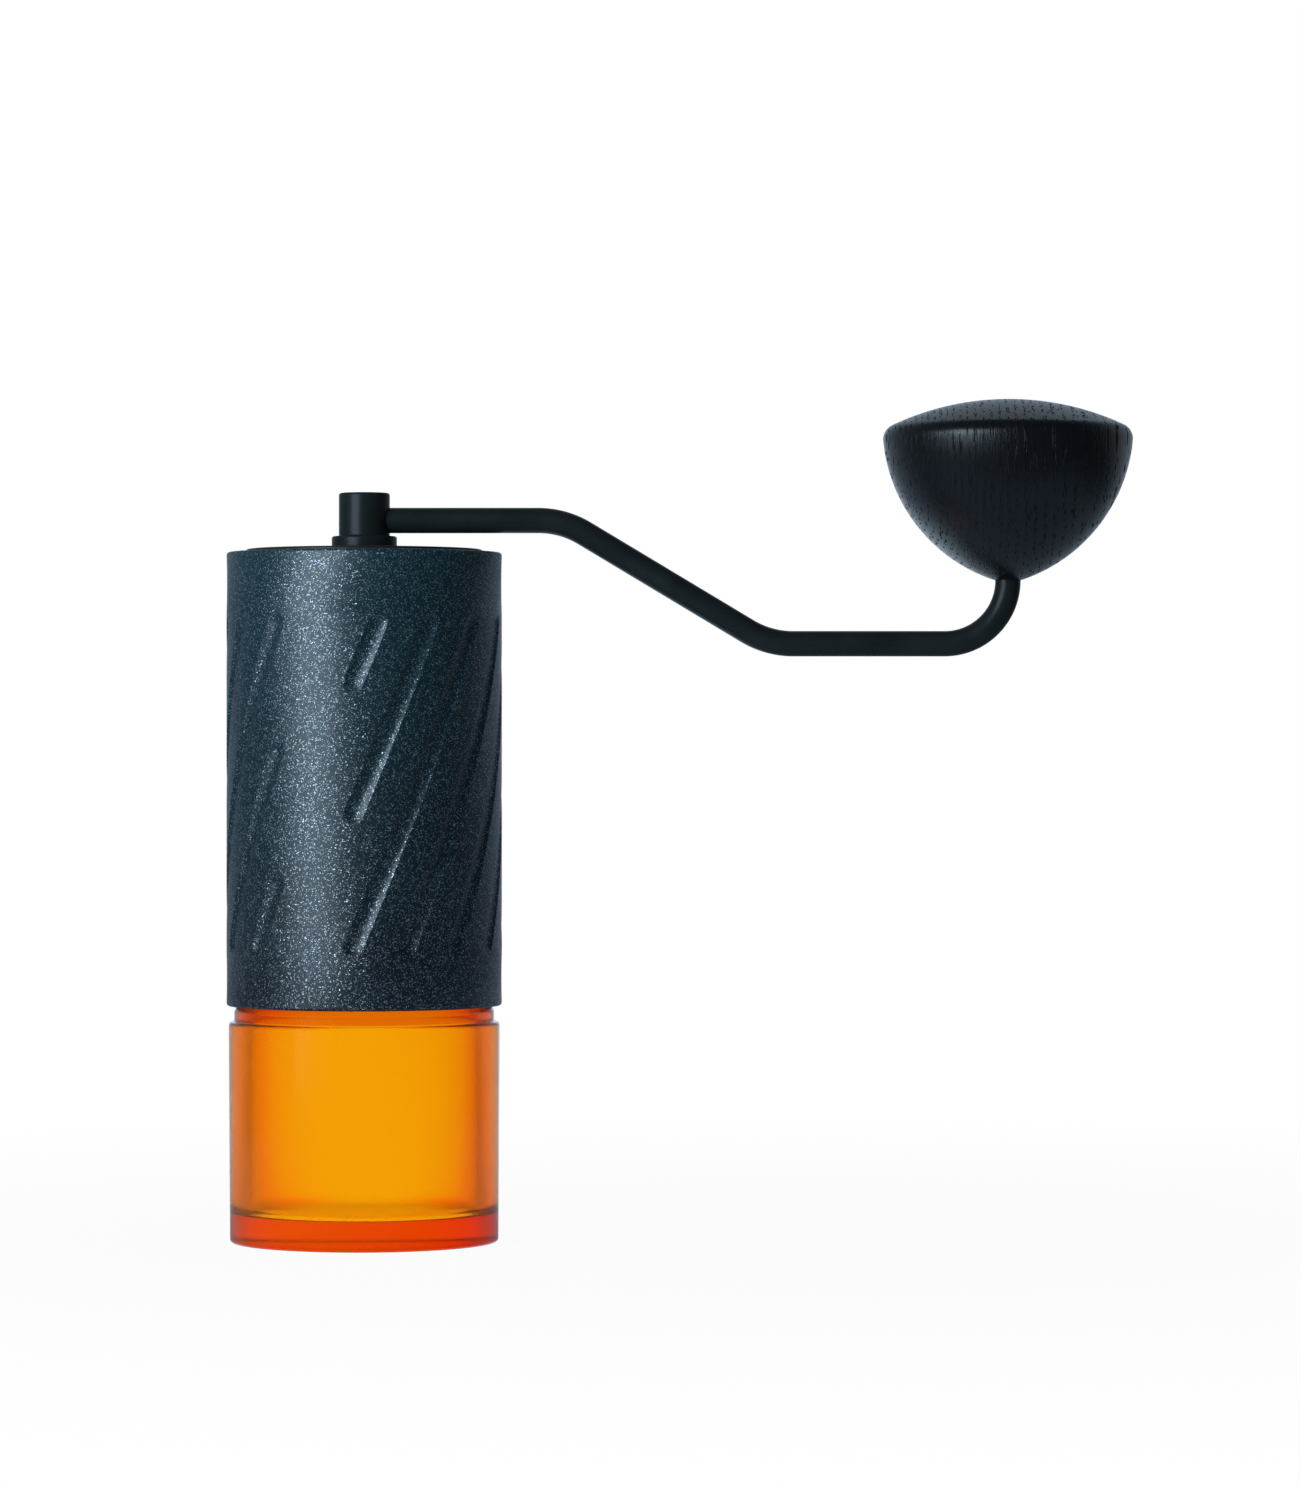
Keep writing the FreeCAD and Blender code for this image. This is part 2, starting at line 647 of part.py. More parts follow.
def bearing(name, bottom):
    """A ball bearing: two grooved races, a ring of balls and the cage that spaces them."""
    top = f"{bottom} + bearing_width"
    middle = f"{bottom} + bearing_width / 2"
    track = spheres(name + "_track", "track_radius", "ball_circle", middle, "ball_count")
    turned(name + "_outer_race", [
        ("outer_ring_bore", bottom), ("outer_ring_bore", f"{middle} - track_half", "track_radius"),
        ("outer_ring_bore", f"{middle} + track_half"), ("outer_ring_bore", top),
        ("bearing_diameter / 2", top), ("bearing_diameter / 2", bottom)])
    turned(name + "_inner_race", [
        ("inner_ring_radius", top), ("inner_ring_radius", f"{middle} + track_half", "track_radius"),
        ("inner_ring_radius", f"{middle} - track_half"), ("inner_ring_radius", bottom),
        ("bearing_bore / 2", bottom), ("bearing_bore / 2", top)])
    cage = turned(name + "_cage_blank", [
        ("ball_circle - cage_wall / 2", f"{middle} - cage_height / 2"),
        ("ball_circle + cage_wall / 2", f"{middle} - cage_height / 2"),
        ("ball_circle + cage_wall / 2", f"{middle} + cage_height / 2"),
        ("ball_circle - cage_wall / 2", f"{middle} + cage_height / 2")])
    cut(name + "_bearing_cage", cage, track)
    spheres(name + "_bearing_balls", "ball_diameter / 2", "ball_circle", middle, "ball_count")


bearing("lower", "lower_bearing")
bearing("upper", "upper_bearing")

# Axle: a collar on the upper bearing, a hexagon for the crank above, a hexagon for the burr and a threaded tail below
axle = turned("axle", [
    ("0", "tail_bottom"), ("tail_radius", "tail_bottom"), ("tail_radius", "drive_top"),
    ("axle_radius", "drive_top"), ("axle_radius", "upper_bearing + bearing_width"),
    ("inner_ring_radius - 0.1", "upper_bearing + bearing_width"),
    ("inner_ring_radius - 0.1", "upper_bearing + bearing_width + collar_height"),
    ("axle_radius", "upper_bearing + bearing_width + collar_height"), ("axle_radius", "hex_bottom"),
    ("hex_flats / 2 - 0.1", "hex_bottom"), ("hex_flats / 2 - 0.1", "socket_top"), ("0", "socket_top")])
pad(axle, outline(axle, "crank_hexagon", "XY_Plane", hexagon("hex_flats"), "hex_bottom"), "socket_top - hex_bottom")
pad(axle, outline(axle, "drive_hexagon", "XY_Plane", hexagon("drive_flats"), "drive_bottom"),
    "drive_top - drive_bottom")

# Cone burr: coarse breaking teeth above, fine grinding teeth below, a spring recess and a hexagon bore
cone_blank = turned("cone_blank", [
    ("0", "burr_bottom"), ("burr_radius", "burr_bottom"), ("burr_radius", "fine_bottom"),
    ("fine_top_radius", "fine_top"), ("burr_top_diameter / 2", "burr_top"),
    ("burr_recess_diameter / 2", "burr_top"), ("burr_recess_diameter / 2", "recess_floor"), ("0", "recess_floor")])
drive_bore = hexagon("drive_flats + 2 * socket_gap")
pocket(cone_blank, outline(cone_blank, "burr_bore", "XY_Plane", drive_bore, "burr_bottom - 1"), "burr_height + 1")
cone_slope = math.degrees(math.atan(number("(fine_top_radius - burr_top_diameter / 2) / (burr_top - fine_top)")))
fine_slope = number("burr_fine_angle")
coarse_cone = tooth_cutters(
    "coarse_cone", "burr_coarse_teeth", "coarse_tooth_depth * 1.8", "burr_height + 4",
    ("fine_top_radius + coarse_tooth_depth * 0.8", "fine_top - 0.5", 180, -cone_slope, 24))
fine_cone = tooth_cutters(
    "fine_cone", "burr_fine_teeth", "fine_tooth_depth * 1.8", "burr_land + burr_fine_height + 1.5",
    ("burr_radius + fine_tooth_depth * 0.8", "burr_bottom - 0.5", 180, -fine_slope, 10))
cone_broken = cut("cone_broken", cone_blank, coarse_cone)
cut("cone_burr", cone_broken, fine_cone)

# Ring burr: toothed inside, held up in its pocket by a retaining ring and three screws
ring_blank = turned("ring_blank", [
    ("ring_outlet", "ring_bottom"), ("ring_radius", "ring_bottom"), ("ring_radius", "ring_top"),
    ("ring_mouth", "ring_top"), ("ring_waist", "fine_top")])
mouth_slope = math.degrees(math.atan(number("ring_mouth_flare / (ring_top - fine_top)")))
coarse_ring = tooth_cutters(
    "coarse_ring", "burr_coarse_teeth + 2", "coarse_tooth_depth", "ring_height",
    ("ring_waist + coarse_tooth_depth * 0.6 - coarse_tooth_depth", "fine_top + 0.6", 0, mouth_slope, -18))
fine_ring = tooth_cutters(
    "fine_ring", "burr_fine_teeth", "fine_tooth_depth * 1.8", "fine_top - ring_bottom + 1.2",
    ("ring_outlet - fine_tooth_depth * 0.8", "ring_bottom - 0.5", 0, -fine_slope, -10))
ring_broken = cut("ring_broken", ring_blank, coarse_ring)
cut("ring_burr", ring_broken, fine_ring)
burr_retainer = turned("burr_retainer", [
    ("retainer_bore", "retainer_bottom"), ("retainer_radius", "retainer_bottom"),
    ("retainer_radius", "retainer_top"), ("retainer_bore", "retainer_top")])
retainer_hole = circle(burr_retainer, "retainer_hole", "XY_Plane", "screw_circle", "0",
                       "screw_diameter / 2 + fit_gap", "retainer_bottom - 1")
repeat(burr_retainer, pocket(burr_retainer, retainer_hole, "retainer_height + 2"), "screw_count")
screws = []
for step in range(int(number("screw_count"))):
    screw = turned(f"retainer_screw_{step}", [
        ("0", "-screw_head_height"), ("screw_head_diameter / 2 - 0.3", "-screw_head_height"),
        ("screw_head_diameter / 2", "0.4 - screw_head_height"), ("screw_head_diameter / 2", "0"),
        ("screw_diameter / 2", "0"), ("screw_diameter / 2", "screw_length"), ("0", "screw_length")])
    drive = outline(screw, f"screw_drive_{step}", "XY_Plane", hexagon("screw_diameter / 2"), "-screw_head_height - 0.2")
    pocket(screw, drive, "screw_head_height * 0.6 + 0.2")
    screw.Placement = ring_place(number("screw_circle"), number("retainer_bottom"), 360 / number("screw_count") * step)
    screws.append(screw)
gather("retainer_screws", screws)

# Spring and washer that press the cone burr down from the lower bearing
turned("spring_washer", [
    ("bearing_bore / 2 + 0.05", "washer_bottom"), ("washer_diameter / 2", "washer_bottom"),
    ("washer_diameter / 2", "lower_bearing"), ("bearing_bore / 2 + 0.05", "lower_bearing")])
coil("burr_spring", "spring_diameter / 2", "spring_wire", "recess_floor + 0.05", "washer_bottom - 0.05",
     "spring_turns")

# Click disc under the cone burr: a ring of dimples for the dial's two balls
disc_blank = turned("disc_blank", [
    ("0", "disc_bottom"), ("click_disc_diameter / 2", "disc_bottom"),
    ("click_disc_diameter / 2", "burr_bottom"), ("0", "burr_bottom")])
pocket(disc_blank, outline(disc_blank, "disc_bore", "XY_Plane", drive_bore, "disc_bottom - 1"),
       "click_disc_height + 2")
dimples = spheres("dimples", "click_ball_diameter / 2 + click_gap", "click_circle / 2",
                  "click_ball_height + click_rise", "click_count")
cut("click_disc", disc_blank, dimples)

# Adjustment dial: a scalloped nut on the axle's tail that sets how high the cone burr sits
dial = turned("adjustment_dial", [
    ("tail_radius + tail_gap", "dial_bottom"), ("dial_diameter / 2 - 0.6", "dial_bottom"),
    ("dial_diameter / 2", "dial_bottom + 0.6"), ("dial_diameter / 2", "dial_top - 1.4"),
    ("dial_diameter / 2 - 1.4", "dial_top"), ("drive_flats / 2 / cos(30 deg) + 0.3", "dial_top"),
    ("drive_flats / 2 / cos(30 deg) + 0.3", "dial_top - dial_counterbore"),
    ("tail_radius + tail_gap", "dial_top - dial_counterbore")])
scallop = circle(dial, "scallop", "XY_Plane", "dial_diameter / 2 + dial_scallop_radius / 2", "0",
                 "dial_scallop_radius", "dial_bottom - 1")
repeat(dial, pocket(dial, scallop, "dial_height + 2"), "dial_scallops")
click_hole = circle(dial, "click_hole", "XY_Plane", "click_circle / 2", "0", "click_hole_radius", "click_hole_floor")
repeat(dial, pocket(dial, click_hole, "click_hole_depth + 1"), "click_ball_count")
spheres("click_balls", "click_ball_diameter / 2", "click_circle / 2", "click_ball_height", "click_ball_count")
click_coils = []
for step in range(int(number("click_ball_count"))):
    spring = coil(f"click_spring_{step}", "click_hole_radius - 0.1 - click_wire", "click_wire",
                  "click_hole_floor + 0.05", "click_ball_height - click_ball_diameter / 2 - 0.05", "click_turns")
    spring.Placement = ring_place(number("click_circle / 2"), 0, 360 / number("click_ball_count") * step)
    click_coils.append(spring)
gather("click_springs", click_coils)

# Jar: thick-walled, with a stop collar under the barrel and a threaded neck inside it
jar = turned("jar", [
    ("0", "0"), ("foot_radius", "0"), ("shoulder_radius", "jar_height"), ("collar_radius", "jar_height"),
    ("collar_radius", "barrel_bottom"), ("neck_radius", "barrel_bottom"), ("neck_radius", "groove_bottom"),
    ("groove_radius", "groove_bottom"), ("groove_radius", "groove_top"), ("neck_radius", "groove_top"),
    ("neck_radius", "neck_top"), ("neck_bore", "neck_top"), ("neck_bore", "bore_step + bore_step_height"),
    ("jar_bore", "bore_step"), ("jar_bore", "jar_floor"), ("0", "jar_floor")])
round_rims(jar, "jar_foot_round", [("foot_radius", "0")])
round_rims(jar, "jar_shoulder_round", [("shoulder_radius", "jar_height")])
round_rims(jar, "collar_round", [("collar_radius", "barrel_bottom")])
round_rims(jar, "jar_floor_round", [("jar_bore", "jar_floor")])
ridge(jar, "jar_thread", "neck_radius - 0.2", "neck_radius + thread_height", "jar_thread_height")
seal = doc.addObject("Part::Torus", "jar_seal")
bind(seal, Radius1="seal_circle", Radius2="seal_section / 2",
     Placement__Base__z="(groove_top + groove_bottom) / 2")

# Lid: a plug in the barrel's mouth, hung on the crank's hub by a clip
lid = turned("lid", [
    ("sleeve_radius + lid_hole_gap", "lid_seat"), ("hopper_bore - lid_gap - lid_skirt_wall", "lid_seat"),
    ("hopper_bore - lid_gap - lid_skirt_wall", "lid_seat - lid_skirt_depth"),
    ("hopper_bore - lid_gap", "lid_seat - lid_skirt_depth"), ("hopper_bore - lid_gap", "lid_seat"),
    ("lid_radius", "lid_seat"), ("lid_radius", "lid_top"), ("sleeve_radius + lid_hole_gap", "lid_top")])
round_rims(lid, "lid_edge_round", [("lid_radius", "lid_top")])
turned("lid_clip", [
    ("sleeve_radius - clip_bite + 0.05", "lid_clip_bottom"), ("sleeve_radius + clip_reach", "lid_clip_bottom"),
    ("sleeve_radius + clip_reach", "lid_clip_top"), ("sleeve_radius - clip_bite + 0.05", "lid_clip_top")])

# Crank hub: a flanged boss above the lid and a hexagon socket below it
hub = turned("crank_hub", [
    ("0", "sleeve_bottom"), ("sleeve_radius", "sleeve_bottom"), ("sleeve_radius", "lid_clip_bottom - 0.02"),
    ("sleeve_radius - clip_bite", "lid_clip_bottom - 0.02"), ("sleeve_radius - clip_bite", "lid_clip_top + 0.02"),
    ("sleeve_radius", "lid_clip_top + 0.02"), ("sleeve_radius", "flange_bottom"),
    ("flange_diameter / 2", "flange_bottom"), ("flange_diameter / 2", "flange_top"),
    ("hub_diameter / 2", "flange_top"), ("hub_diameter / 2", "hub_top"), ("0", "hub_top")])
round_rims(hub, "hub_round", [("hub_diameter / 2", "hub_top")])
round_rims(hub, "flange_round", [("flange_diameter / 2", "flange_top")])
socket = outline(hub, "socket", "XY_Plane", hexagon("hex_flats + 2 * socket_gap"), "sleeve_bottom")
pocket(hub, socket, "socket_top - sleeve_bottom")
arm_hole = circle(hub, "arm_hole", "YZ_Plane", "0", "upper_run", "arm_radius + fit_gap", "arm_root")
pocket(hub, arm_hole, "hub_diameter")


def arm_spine(body):
    """The rod's centre line: a level run, a slope down, a lower run and the upright pin, joined by bends."""
    sketch = new_sketch(body, "arm_spine", "XZ_Plane")
    root_x = number("arm_root")
    high = number("upper_run")
    low = number("lower_run")
    bend = number("slope_bend")
    first_x = number("upper_run_end")
    second_x = number("lower_run_start")
    pin_x = number("crank_radius")
    pin_bend = number("pin_bend")
    across = second_x - first_x
    down = high - low
    straight = math.sqrt(across ** 2 + down ** 2 - 4 * bend * down)
    slope = math.atan2(2 * bend, straight) - math.atan2(2 * bend - down, across)
    axis = FreeCAD.Vector(0, 0, 1)

    def spot(x, y):
        return FreeCAD.Vector(x, y, 0)

    fall = spot(math.sin(slope) * bend, (1 - math.cos(slope)) * bend)
    leave = spot(first_x + fall.x, high - fall.y)
    arrive = spot(second_x - fall.x, low + fall.y)
    up = math.pi / 2
    sketch.addGeometry([
        Part.LineSegment(spot(root_x, high), spot(first_x, high)),
        Part.ArcOfCircle(Part.Circle(spot(first_x, high - bend), axis, bend), up - slope, up),
        Part.LineSegment(leave, arrive),
        Part.ArcOfCircle(Part.Circle(spot(second_x, low + bend), axis, bend), -up - slope, -up),
        Part.LineSegment(spot(second_x, low), spot(pin_x - pin_bend, low)),
        Part.ArcOfCircle(Part.Circle(spot(pin_x - pin_bend, low + pin_bend), axis, pin_bend), -up, 0),
        Part.LineSegment(spot(pin_x, low + pin_bend), spot(pin_x, number("pin_top"))),
    ], False)
    joints = [(0, 2, 1, 2), (1, 1, 2, 1), (2, 2, 3, 1), (3, 2, 4, 1), (4, 2, 5, 1), (5, 2, 6, 1)]
    for joint in joints:
        sketch.addConstraint(Sketcher.Constraint("Tangent", *joint))
    sketch.addConstraint(Sketcher.Constraint("Horizontal", 0))
    sketch.addConstraint(Sketcher.Constraint("Horizontal", 4))
    sketch.addConstraint(Sketcher.Constraint("Vertical", 6))
    for curve, radius in ((1, "slope_bend"), (3, "slope_bend"), (5, "pin_bend")):
        held = sketch.addConstraint(Sketcher.Constraint("Radius", curve, number(radius)))
        bind(sketch, **{f"Constraints[{held}]": radius})
    places = [("DistanceX", 0, 1, "arm_root"), ("DistanceY", 0, 1, "upper_run"),
              ("DistanceX", 0, 2, "upper_run_end"), ("DistanceX", 4, 1, "lower_run_start"),
              ("DistanceY", 4, 1, "lower_run"), ("DistanceX", 6, 2, "crank_radius"),
              ("DistanceY", 6, 2, "pin_top")]
    for kind, curve, end, size in places:
        held = sketch.addConstraint(Sketcher.Constraint(kind, -1, 1, curve, end, number(size)))
        bind(sketch, **{f"Constraints[{held}]": size})
    return sketch


# Crank arm: one bent rod from the hub to the knob's pin, grooved near its end for a clip
arm = doc.addObject("PartDesign::Body", "arm_rod")
spine = arm_spine(arm)
section = circle(arm, "arm_section", "YZ_Plane", "0", "upper_run", "arm_radius", "arm_root")
doc.recompute()
pipe = arm.newObject("PartDesign::AdditivePipe", "arm_pipe")
pipe.Profile = section
pipe.Spine = (spine, [f"Edge{index}" for index in range(1, 8)])
clip_groove = turned("clip_groove", [
    ("arm_radius - pin_clip_bite", "pin_clip_bottom - 0.02"), ("arm_radius + 1", "pin_clip_bottom - 0.02"),
    ("arm_radius + 1", "pin_clip_top + 0.02"), ("arm_radius - pin_clip_bite", "pin_clip_top + 0.02")])
bind(clip_groove, Placement__Base__x="crank_radius")
cut("crank_arm", arm, clip_groove)

# Clip that keeps the knob on its pin
pin_clip = turned("pin_clip", [
    ("arm_radius - pin_clip_bite + 0.05", "pin_clip_bottom"), ("arm_radius + pin_clip_reach", "pin_clip_bottom"),
    ("arm_radius + pin_clip_reach", "pin_clip_top"), ("arm_radius - pin_clip_bite + 0.05", "pin_clip_top")])
bind(pin_clip, Placement__Base__x="crank_radius")

# Knob: a turned wooden bowl shape with a domed top, on a blind bush that spins on the pin
bush = turned("knob_bush", [
    ("0", "pin_top"), ("bush_bore", "pin_top"), ("bush_bore", "pin_clip_top + 0.1"),
    ("arm_radius + pin_clip_reach + 0.1", "pin_clip_top + 0.1"),
    ("arm_radius + pin_clip_reach + 0.1", "pin_clip_bottom - 0.1"),
    ("bush_bore", "pin_clip_bottom - 0.1"), ("bush_bore", "knob_bottom"), ("bush_radius", "knob_bottom"),
    ("bush_radius", "bush_top"), ("0", "bush_top")])
bind(bush, Placement__Base__x="crank_radius")
knob = turned("knob", [
    ("0", "bush_top + fit_gap"), ("knob_bore", "bush_top + fit_gap"),
    ("knob_bore", "knob_bottom", "knob_bowl_radius"),
    ("knob_diameter / 2", "knob_rim", "knob_dome_radius"), ("0", "knob_top")])
round_rims(knob, "knob_rim_round", [("knob_diameter / 2", "knob_rim")])
bind(knob, Placement__Base__x="crank_radius")

doc.recompute()
for item in doc.Objects:
    if "Invalid" in item.State or "Error" in item.State:
        raise RuntimeError(f"{item.Name} did not compute: {item.State}")
os.makedirs("parts", exist_ok=True)
for name in NODES:
    sub_part = doc.getObjectsByLabel(name)[0]
    shape = sub_part.Shape
    if shape.isNull() or not shape.isValid() or shape.Volume < 0.1:
        raise RuntimeError(f"{name} has no sound solid")
    shape.exportStep(f"parts/{name}.step")
    box = shape.BoundBox
    print(f"{name}: {len(shape.Solids)} solid, {shape.Volume:.1f} mm3, z {box.ZMin:.2f} to {box.ZMax:.2f}")
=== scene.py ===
"""Hand crank coffee grinder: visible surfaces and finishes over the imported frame. Lengths are in metres."""

import json
import math

import bmesh
import bpy
import numpy as np
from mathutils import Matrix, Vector


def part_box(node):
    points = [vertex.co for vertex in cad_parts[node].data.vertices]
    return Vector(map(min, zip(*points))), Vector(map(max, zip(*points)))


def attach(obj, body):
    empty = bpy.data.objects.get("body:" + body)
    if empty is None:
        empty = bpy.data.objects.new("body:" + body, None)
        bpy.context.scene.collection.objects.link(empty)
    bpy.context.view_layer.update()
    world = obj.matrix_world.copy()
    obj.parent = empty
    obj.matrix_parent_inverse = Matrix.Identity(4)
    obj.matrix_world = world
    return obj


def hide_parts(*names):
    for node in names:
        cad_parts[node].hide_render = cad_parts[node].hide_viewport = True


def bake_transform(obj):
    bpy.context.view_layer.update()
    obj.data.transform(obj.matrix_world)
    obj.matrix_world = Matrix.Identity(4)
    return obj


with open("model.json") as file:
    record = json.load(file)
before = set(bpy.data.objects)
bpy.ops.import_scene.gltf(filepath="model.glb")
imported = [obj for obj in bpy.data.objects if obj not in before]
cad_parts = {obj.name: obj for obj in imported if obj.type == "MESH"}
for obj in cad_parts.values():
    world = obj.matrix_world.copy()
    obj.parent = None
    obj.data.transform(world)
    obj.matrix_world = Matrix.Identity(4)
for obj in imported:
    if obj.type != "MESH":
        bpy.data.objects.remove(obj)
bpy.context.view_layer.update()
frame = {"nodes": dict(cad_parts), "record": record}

MM = 0.001
TURN = 2 * math.pi


def heights(node):
    """Heights of a CAD node's lowest and highest points."""
    low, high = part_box(node)
    return low.z, high.z


# Barrel
BARREL_BOTTOM, BARREL_TOP = heights("barrel_shell")
BARREL_RADIUS = 27.0 * MM
BARREL_BORE = 25.6 * MM
BARREL_EDGE = 0.6 * MM
FLUTE_COUNT = 16
FLUTE_BOTTOM = 58.75 * MM
FLUTE_TOP = 120.9 * MM
FLUTE_RATE = math.radians(0.886) / MM
FLUTE_DEPTH = 0.6 * MM
FLUTE_NOSE = 3.1 * MM
FLUTE_SOFTNESS = 0.06 * MM
FLUTE_MARGIN = 2.2 * MM
TROUGH_HALF_WIDTH = math.radians(2.5)
FLANK_HALF_WIDTH = math.radians(5.0)
PANEL_END = math.radians(-91.5)
PANEL_WIDTH = math.radians(34.6)

# Jar
JAR_FOOT_RADIUS = 26.3 * MM
JAR_FOOT_FILLET = 0.5 * MM
JAR_SHOULDER_RADIUS = 26.6 * MM
JAR_SHOULDER_FILLET = 0.8 * MM
JAR_HEIGHT = 43.2 * MM
JAR_BORE = 22.1 * MM
JAR_FLOOR = 5.6 * MM
JAR_FLOOR_FILLET = 2.0 * MM
COLLAR_RADIUS = 25.5 * MM
COLLAR_ROOT_FILLET = 0.2 * MM
COLLAR_FILLET = 1.2 * MM
COLLAR_SLOPE_HEIGHT = 1.1 * MM
COLLAR_SLOPE_WIDTH = 0.5 * MM
COLLAR_TOP_FILLET = 0.1 * MM
NECK_RADIUS = 23.4 * MM
NECK_BORE = 21.4 * MM
NECK_TOP = heights("jar")[1]
NECK_FILLET = 0.3 * MM
BORE_STEP = 47.0 * MM
BORE_STEP_TOP = 48.8 * MM
BORE_STEP_FILLET = 0.8 * MM
SEAL_BOTTOM = 52.4 * MM
SEAL_TOP = 53.7 * MM
SEAL_RADIUS = 22.4 * MM
THREAD_LEAD = 6.0 * MM
THREAD_STARTS = 2
THREAD_HEIGHT = 0.8 * MM
THREAD_HALF_WIDTH = 0.8 * MM
THREAD_FLANK = 0.35 * MM
THREAD_FADE = 0.015
THREAD_START = 48.75 * MM
THREAD_RISE = 2.6 * MM

# Lid
LID_BOTTOM, LID_TOP = heights("lid")
LID_SEAT = 133.7 * MM
LID_RADIUS = 23.2 * MM
LID_TOP_FILLET = 0.4 * MM
LID_SEAT_FILLET = 0.2 * MM
LID_CLEARANCE = 0.3 * MM
SKIRT_RADIUS = 22.1 * MM
SKIRT_WALL = 1.5 * MM
SKIRT_FILLET = 0.4 * MM
SKIRT_ROOT_FILLET = 0.3 * MM

# Crank hub
HUB_BOTTOM, HUB_TOP = heights("crank_hub")
HUB_RADIUS = 5.0 * MM
HUB_TOP_FILLET = 0.5 * MM
HUB_ROOT_FILLET = 0.25 * MM
FLANGE_BOTTOM = 135.9 * MM
FLANGE_TOP = 138.4 * MM
FLANGE_RADIUS = 6.4 * MM
FLANGE_TOP_FILLET = 0.45 * MM
FLANGE_FOOT_FILLET = 0.2 * MM
SLEEVE_RADIUS = 4.614 * MM
SLEEVE_FILLET = 0.2 * MM
CLIP_BOTTOM = 132.78 * MM
CLIP_TOP = 133.62 * MM
CLIP_RADIUS = 4.164 * MM
SOCKET_TOP = 137.0 * MM
SOCKET_HALF_FLATS = 3.05 * MM
SOCKET_SIDES = 6

# Crank arm
ARM_RADIUS = 2.5 * MM
ARM_ROOT = 1.0 * MM
UPPER_RUN = 141.5 * MM
LOWER_RUN = 117.3 * MM
UPPER_RUN_END = 34.2 * MM
LOWER_RUN_START = 84.2 * MM
SLOPE_BEND = 17.5 * MM
PIN_BEND = 12.4 * MM
PIN_TOP = heights("crank_arm")[1]
CRANK_RADIUS = 126.4 * MM

# Knob
KNOB_BOTTOM, KNOB_TOP = heights("knob")
KNOB_RIM = 159.3 * MM
KNOB_RADIUS = 24.6 * MM
KNOB_BOWL = 32.0 * MM
KNOB_BORE = 4.08 * MM
KNOB_BORE_TOP = 155.53 * MM
KNOB_LIP = 2.75 * MM
KNOB_LIP_THICKNESS = 0.2 * MM
KNOB_FILLET = 3.0 * MM

# Burr spring
SPRING_RADIUS = 4.8 * MM
SPRING_WIRE = 0.9 * MM
SPRING_BOTTOM = 68.05 * MM
SPRING_TOP = 75.75 * MM
SPRING_TURNS = 4

# Flecks of the barrel's coat: cells to the metre, the pick above which a large cell is one, and their tilt
SMALL_FLECKS = 6800.0
LARGE_FLECKS = 4600.0
LARGE_FLECK_CUT = 0.86
FLECK_TILT = 0.8

# Wood of the knob
GRAIN_LEAN = math.radians(10)
GRAIN_SWAY = (1.2 * MM, 1.2 * MM, 0.0)
PITH = (-150.0 * MM, -8.0 * MM, 0.0)
PITH_CORE = 96.0 * MM
RING_GROWTH = 1.031
PORES_A_RING = 4.5
PORE_WIDTH = 1.5 * MM
PORE_LENGTH = 10.0 * MM

# Fineness of the surfaces
FLUTE_ROWS = 165
TROUGH_COLUMNS = 8
FLANK_COLUMNS = 10
PLAIN_COLUMNS = 6
BORE_ROWS = 5
NECK_ROWS = 46
FILLET_STEPS = 6
HUB_FILLET_STEPS = 7
JAR_FILLET_STEPS = 9
JAR_SIDES = 192
LID_SIDES = 160
HUB_SIDES = 120
ROD_SIDES = 48
BEND_STEPS = 18
KNOB_SIDES = 192
BOWL_STEPS = 60
RIM_STEPS = 16
DOME_STEPS = 40
WIRE_SIDES = 16
WIRE_STEPS = 40
SHARP_ANGLE = math.radians(35)
SAME_PLACE = 1e-7

# Studio
FLOOR_RADIUS = 8.0
FLOOR_SIDES = 64
FLOOR_HEIGHT = -0.1 * MM
FLOOR_MIDDLE = (60.0 * MM, 0.0, 0.0)
SHADOW_SPAN = (0.10, 0.40)
EVEN_LIGHT_SPAN = (27.0 * MM, 40.0 * MM)
NEAR_GLOW = 0.34
GLOW_SPAN = (0.30, 0.45)
GLOW_FRONT_SPAN = (-0.22, -0.16)
CAMERA_PLACE = (56.1 * MM, -1110.0 * MM, 97.9 * MM)
CAMERA_SENSOR = 36.0
CAMERA_LENS = 137.0
CAMERA_REACH = 50.0

# Shared colours
COOL = (0.74, 0.88, 1.0, 1)
WHITE = (1, 1, 1, 1)


def grid_faces(rows, columns, closed):
    """Quads over a grid. Its last column joins its first, and so does its last row where it is closed."""
    row = np.arange(rows if closed else rows - 1)[:, None]
    column = np.arange(columns)[None, :]
    next_row = (row + 1) % rows
    next_column = (column + 1) % columns
    corners = [row * columns + column, row * columns + next_column,
               next_row * columns + next_column, next_row * columns + column]
    return np.stack(corners, axis=-1).reshape(-1, 4)


def make_piece(name, points, node, closed=False):
    """A smooth piece over a grid of points, in a node's place and finish, with doubled points merged."""
    faces = grid_faces(*points.shape[:2], closed)
    mesh = bpy.data.meshes.new(name)
    mesh.from_pydata(points.reshape(-1, 3).tolist(), [], faces.tolist())
    shape = bmesh.new()
    shape.from_mesh(mesh)
    bmesh.ops.remove_doubles(shape, verts=shape.verts, dist=SAME_PLACE)
    bmesh.ops.recalc_face_normals(shape, faces=shape.faces)
    shape.to_mesh(mesh)
    shape.free()
    mesh.shade_smooth()
    mesh.set_sharp_from_angle(angle=SHARP_ANGLE)
    piece = bpy.data.objects.new(name, mesh)
    bpy.context.scene.collection.objects.link(piece)
    mesh.materials.append(FINISHES[SLOT_OF[node]])
    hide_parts(node)
    return piece


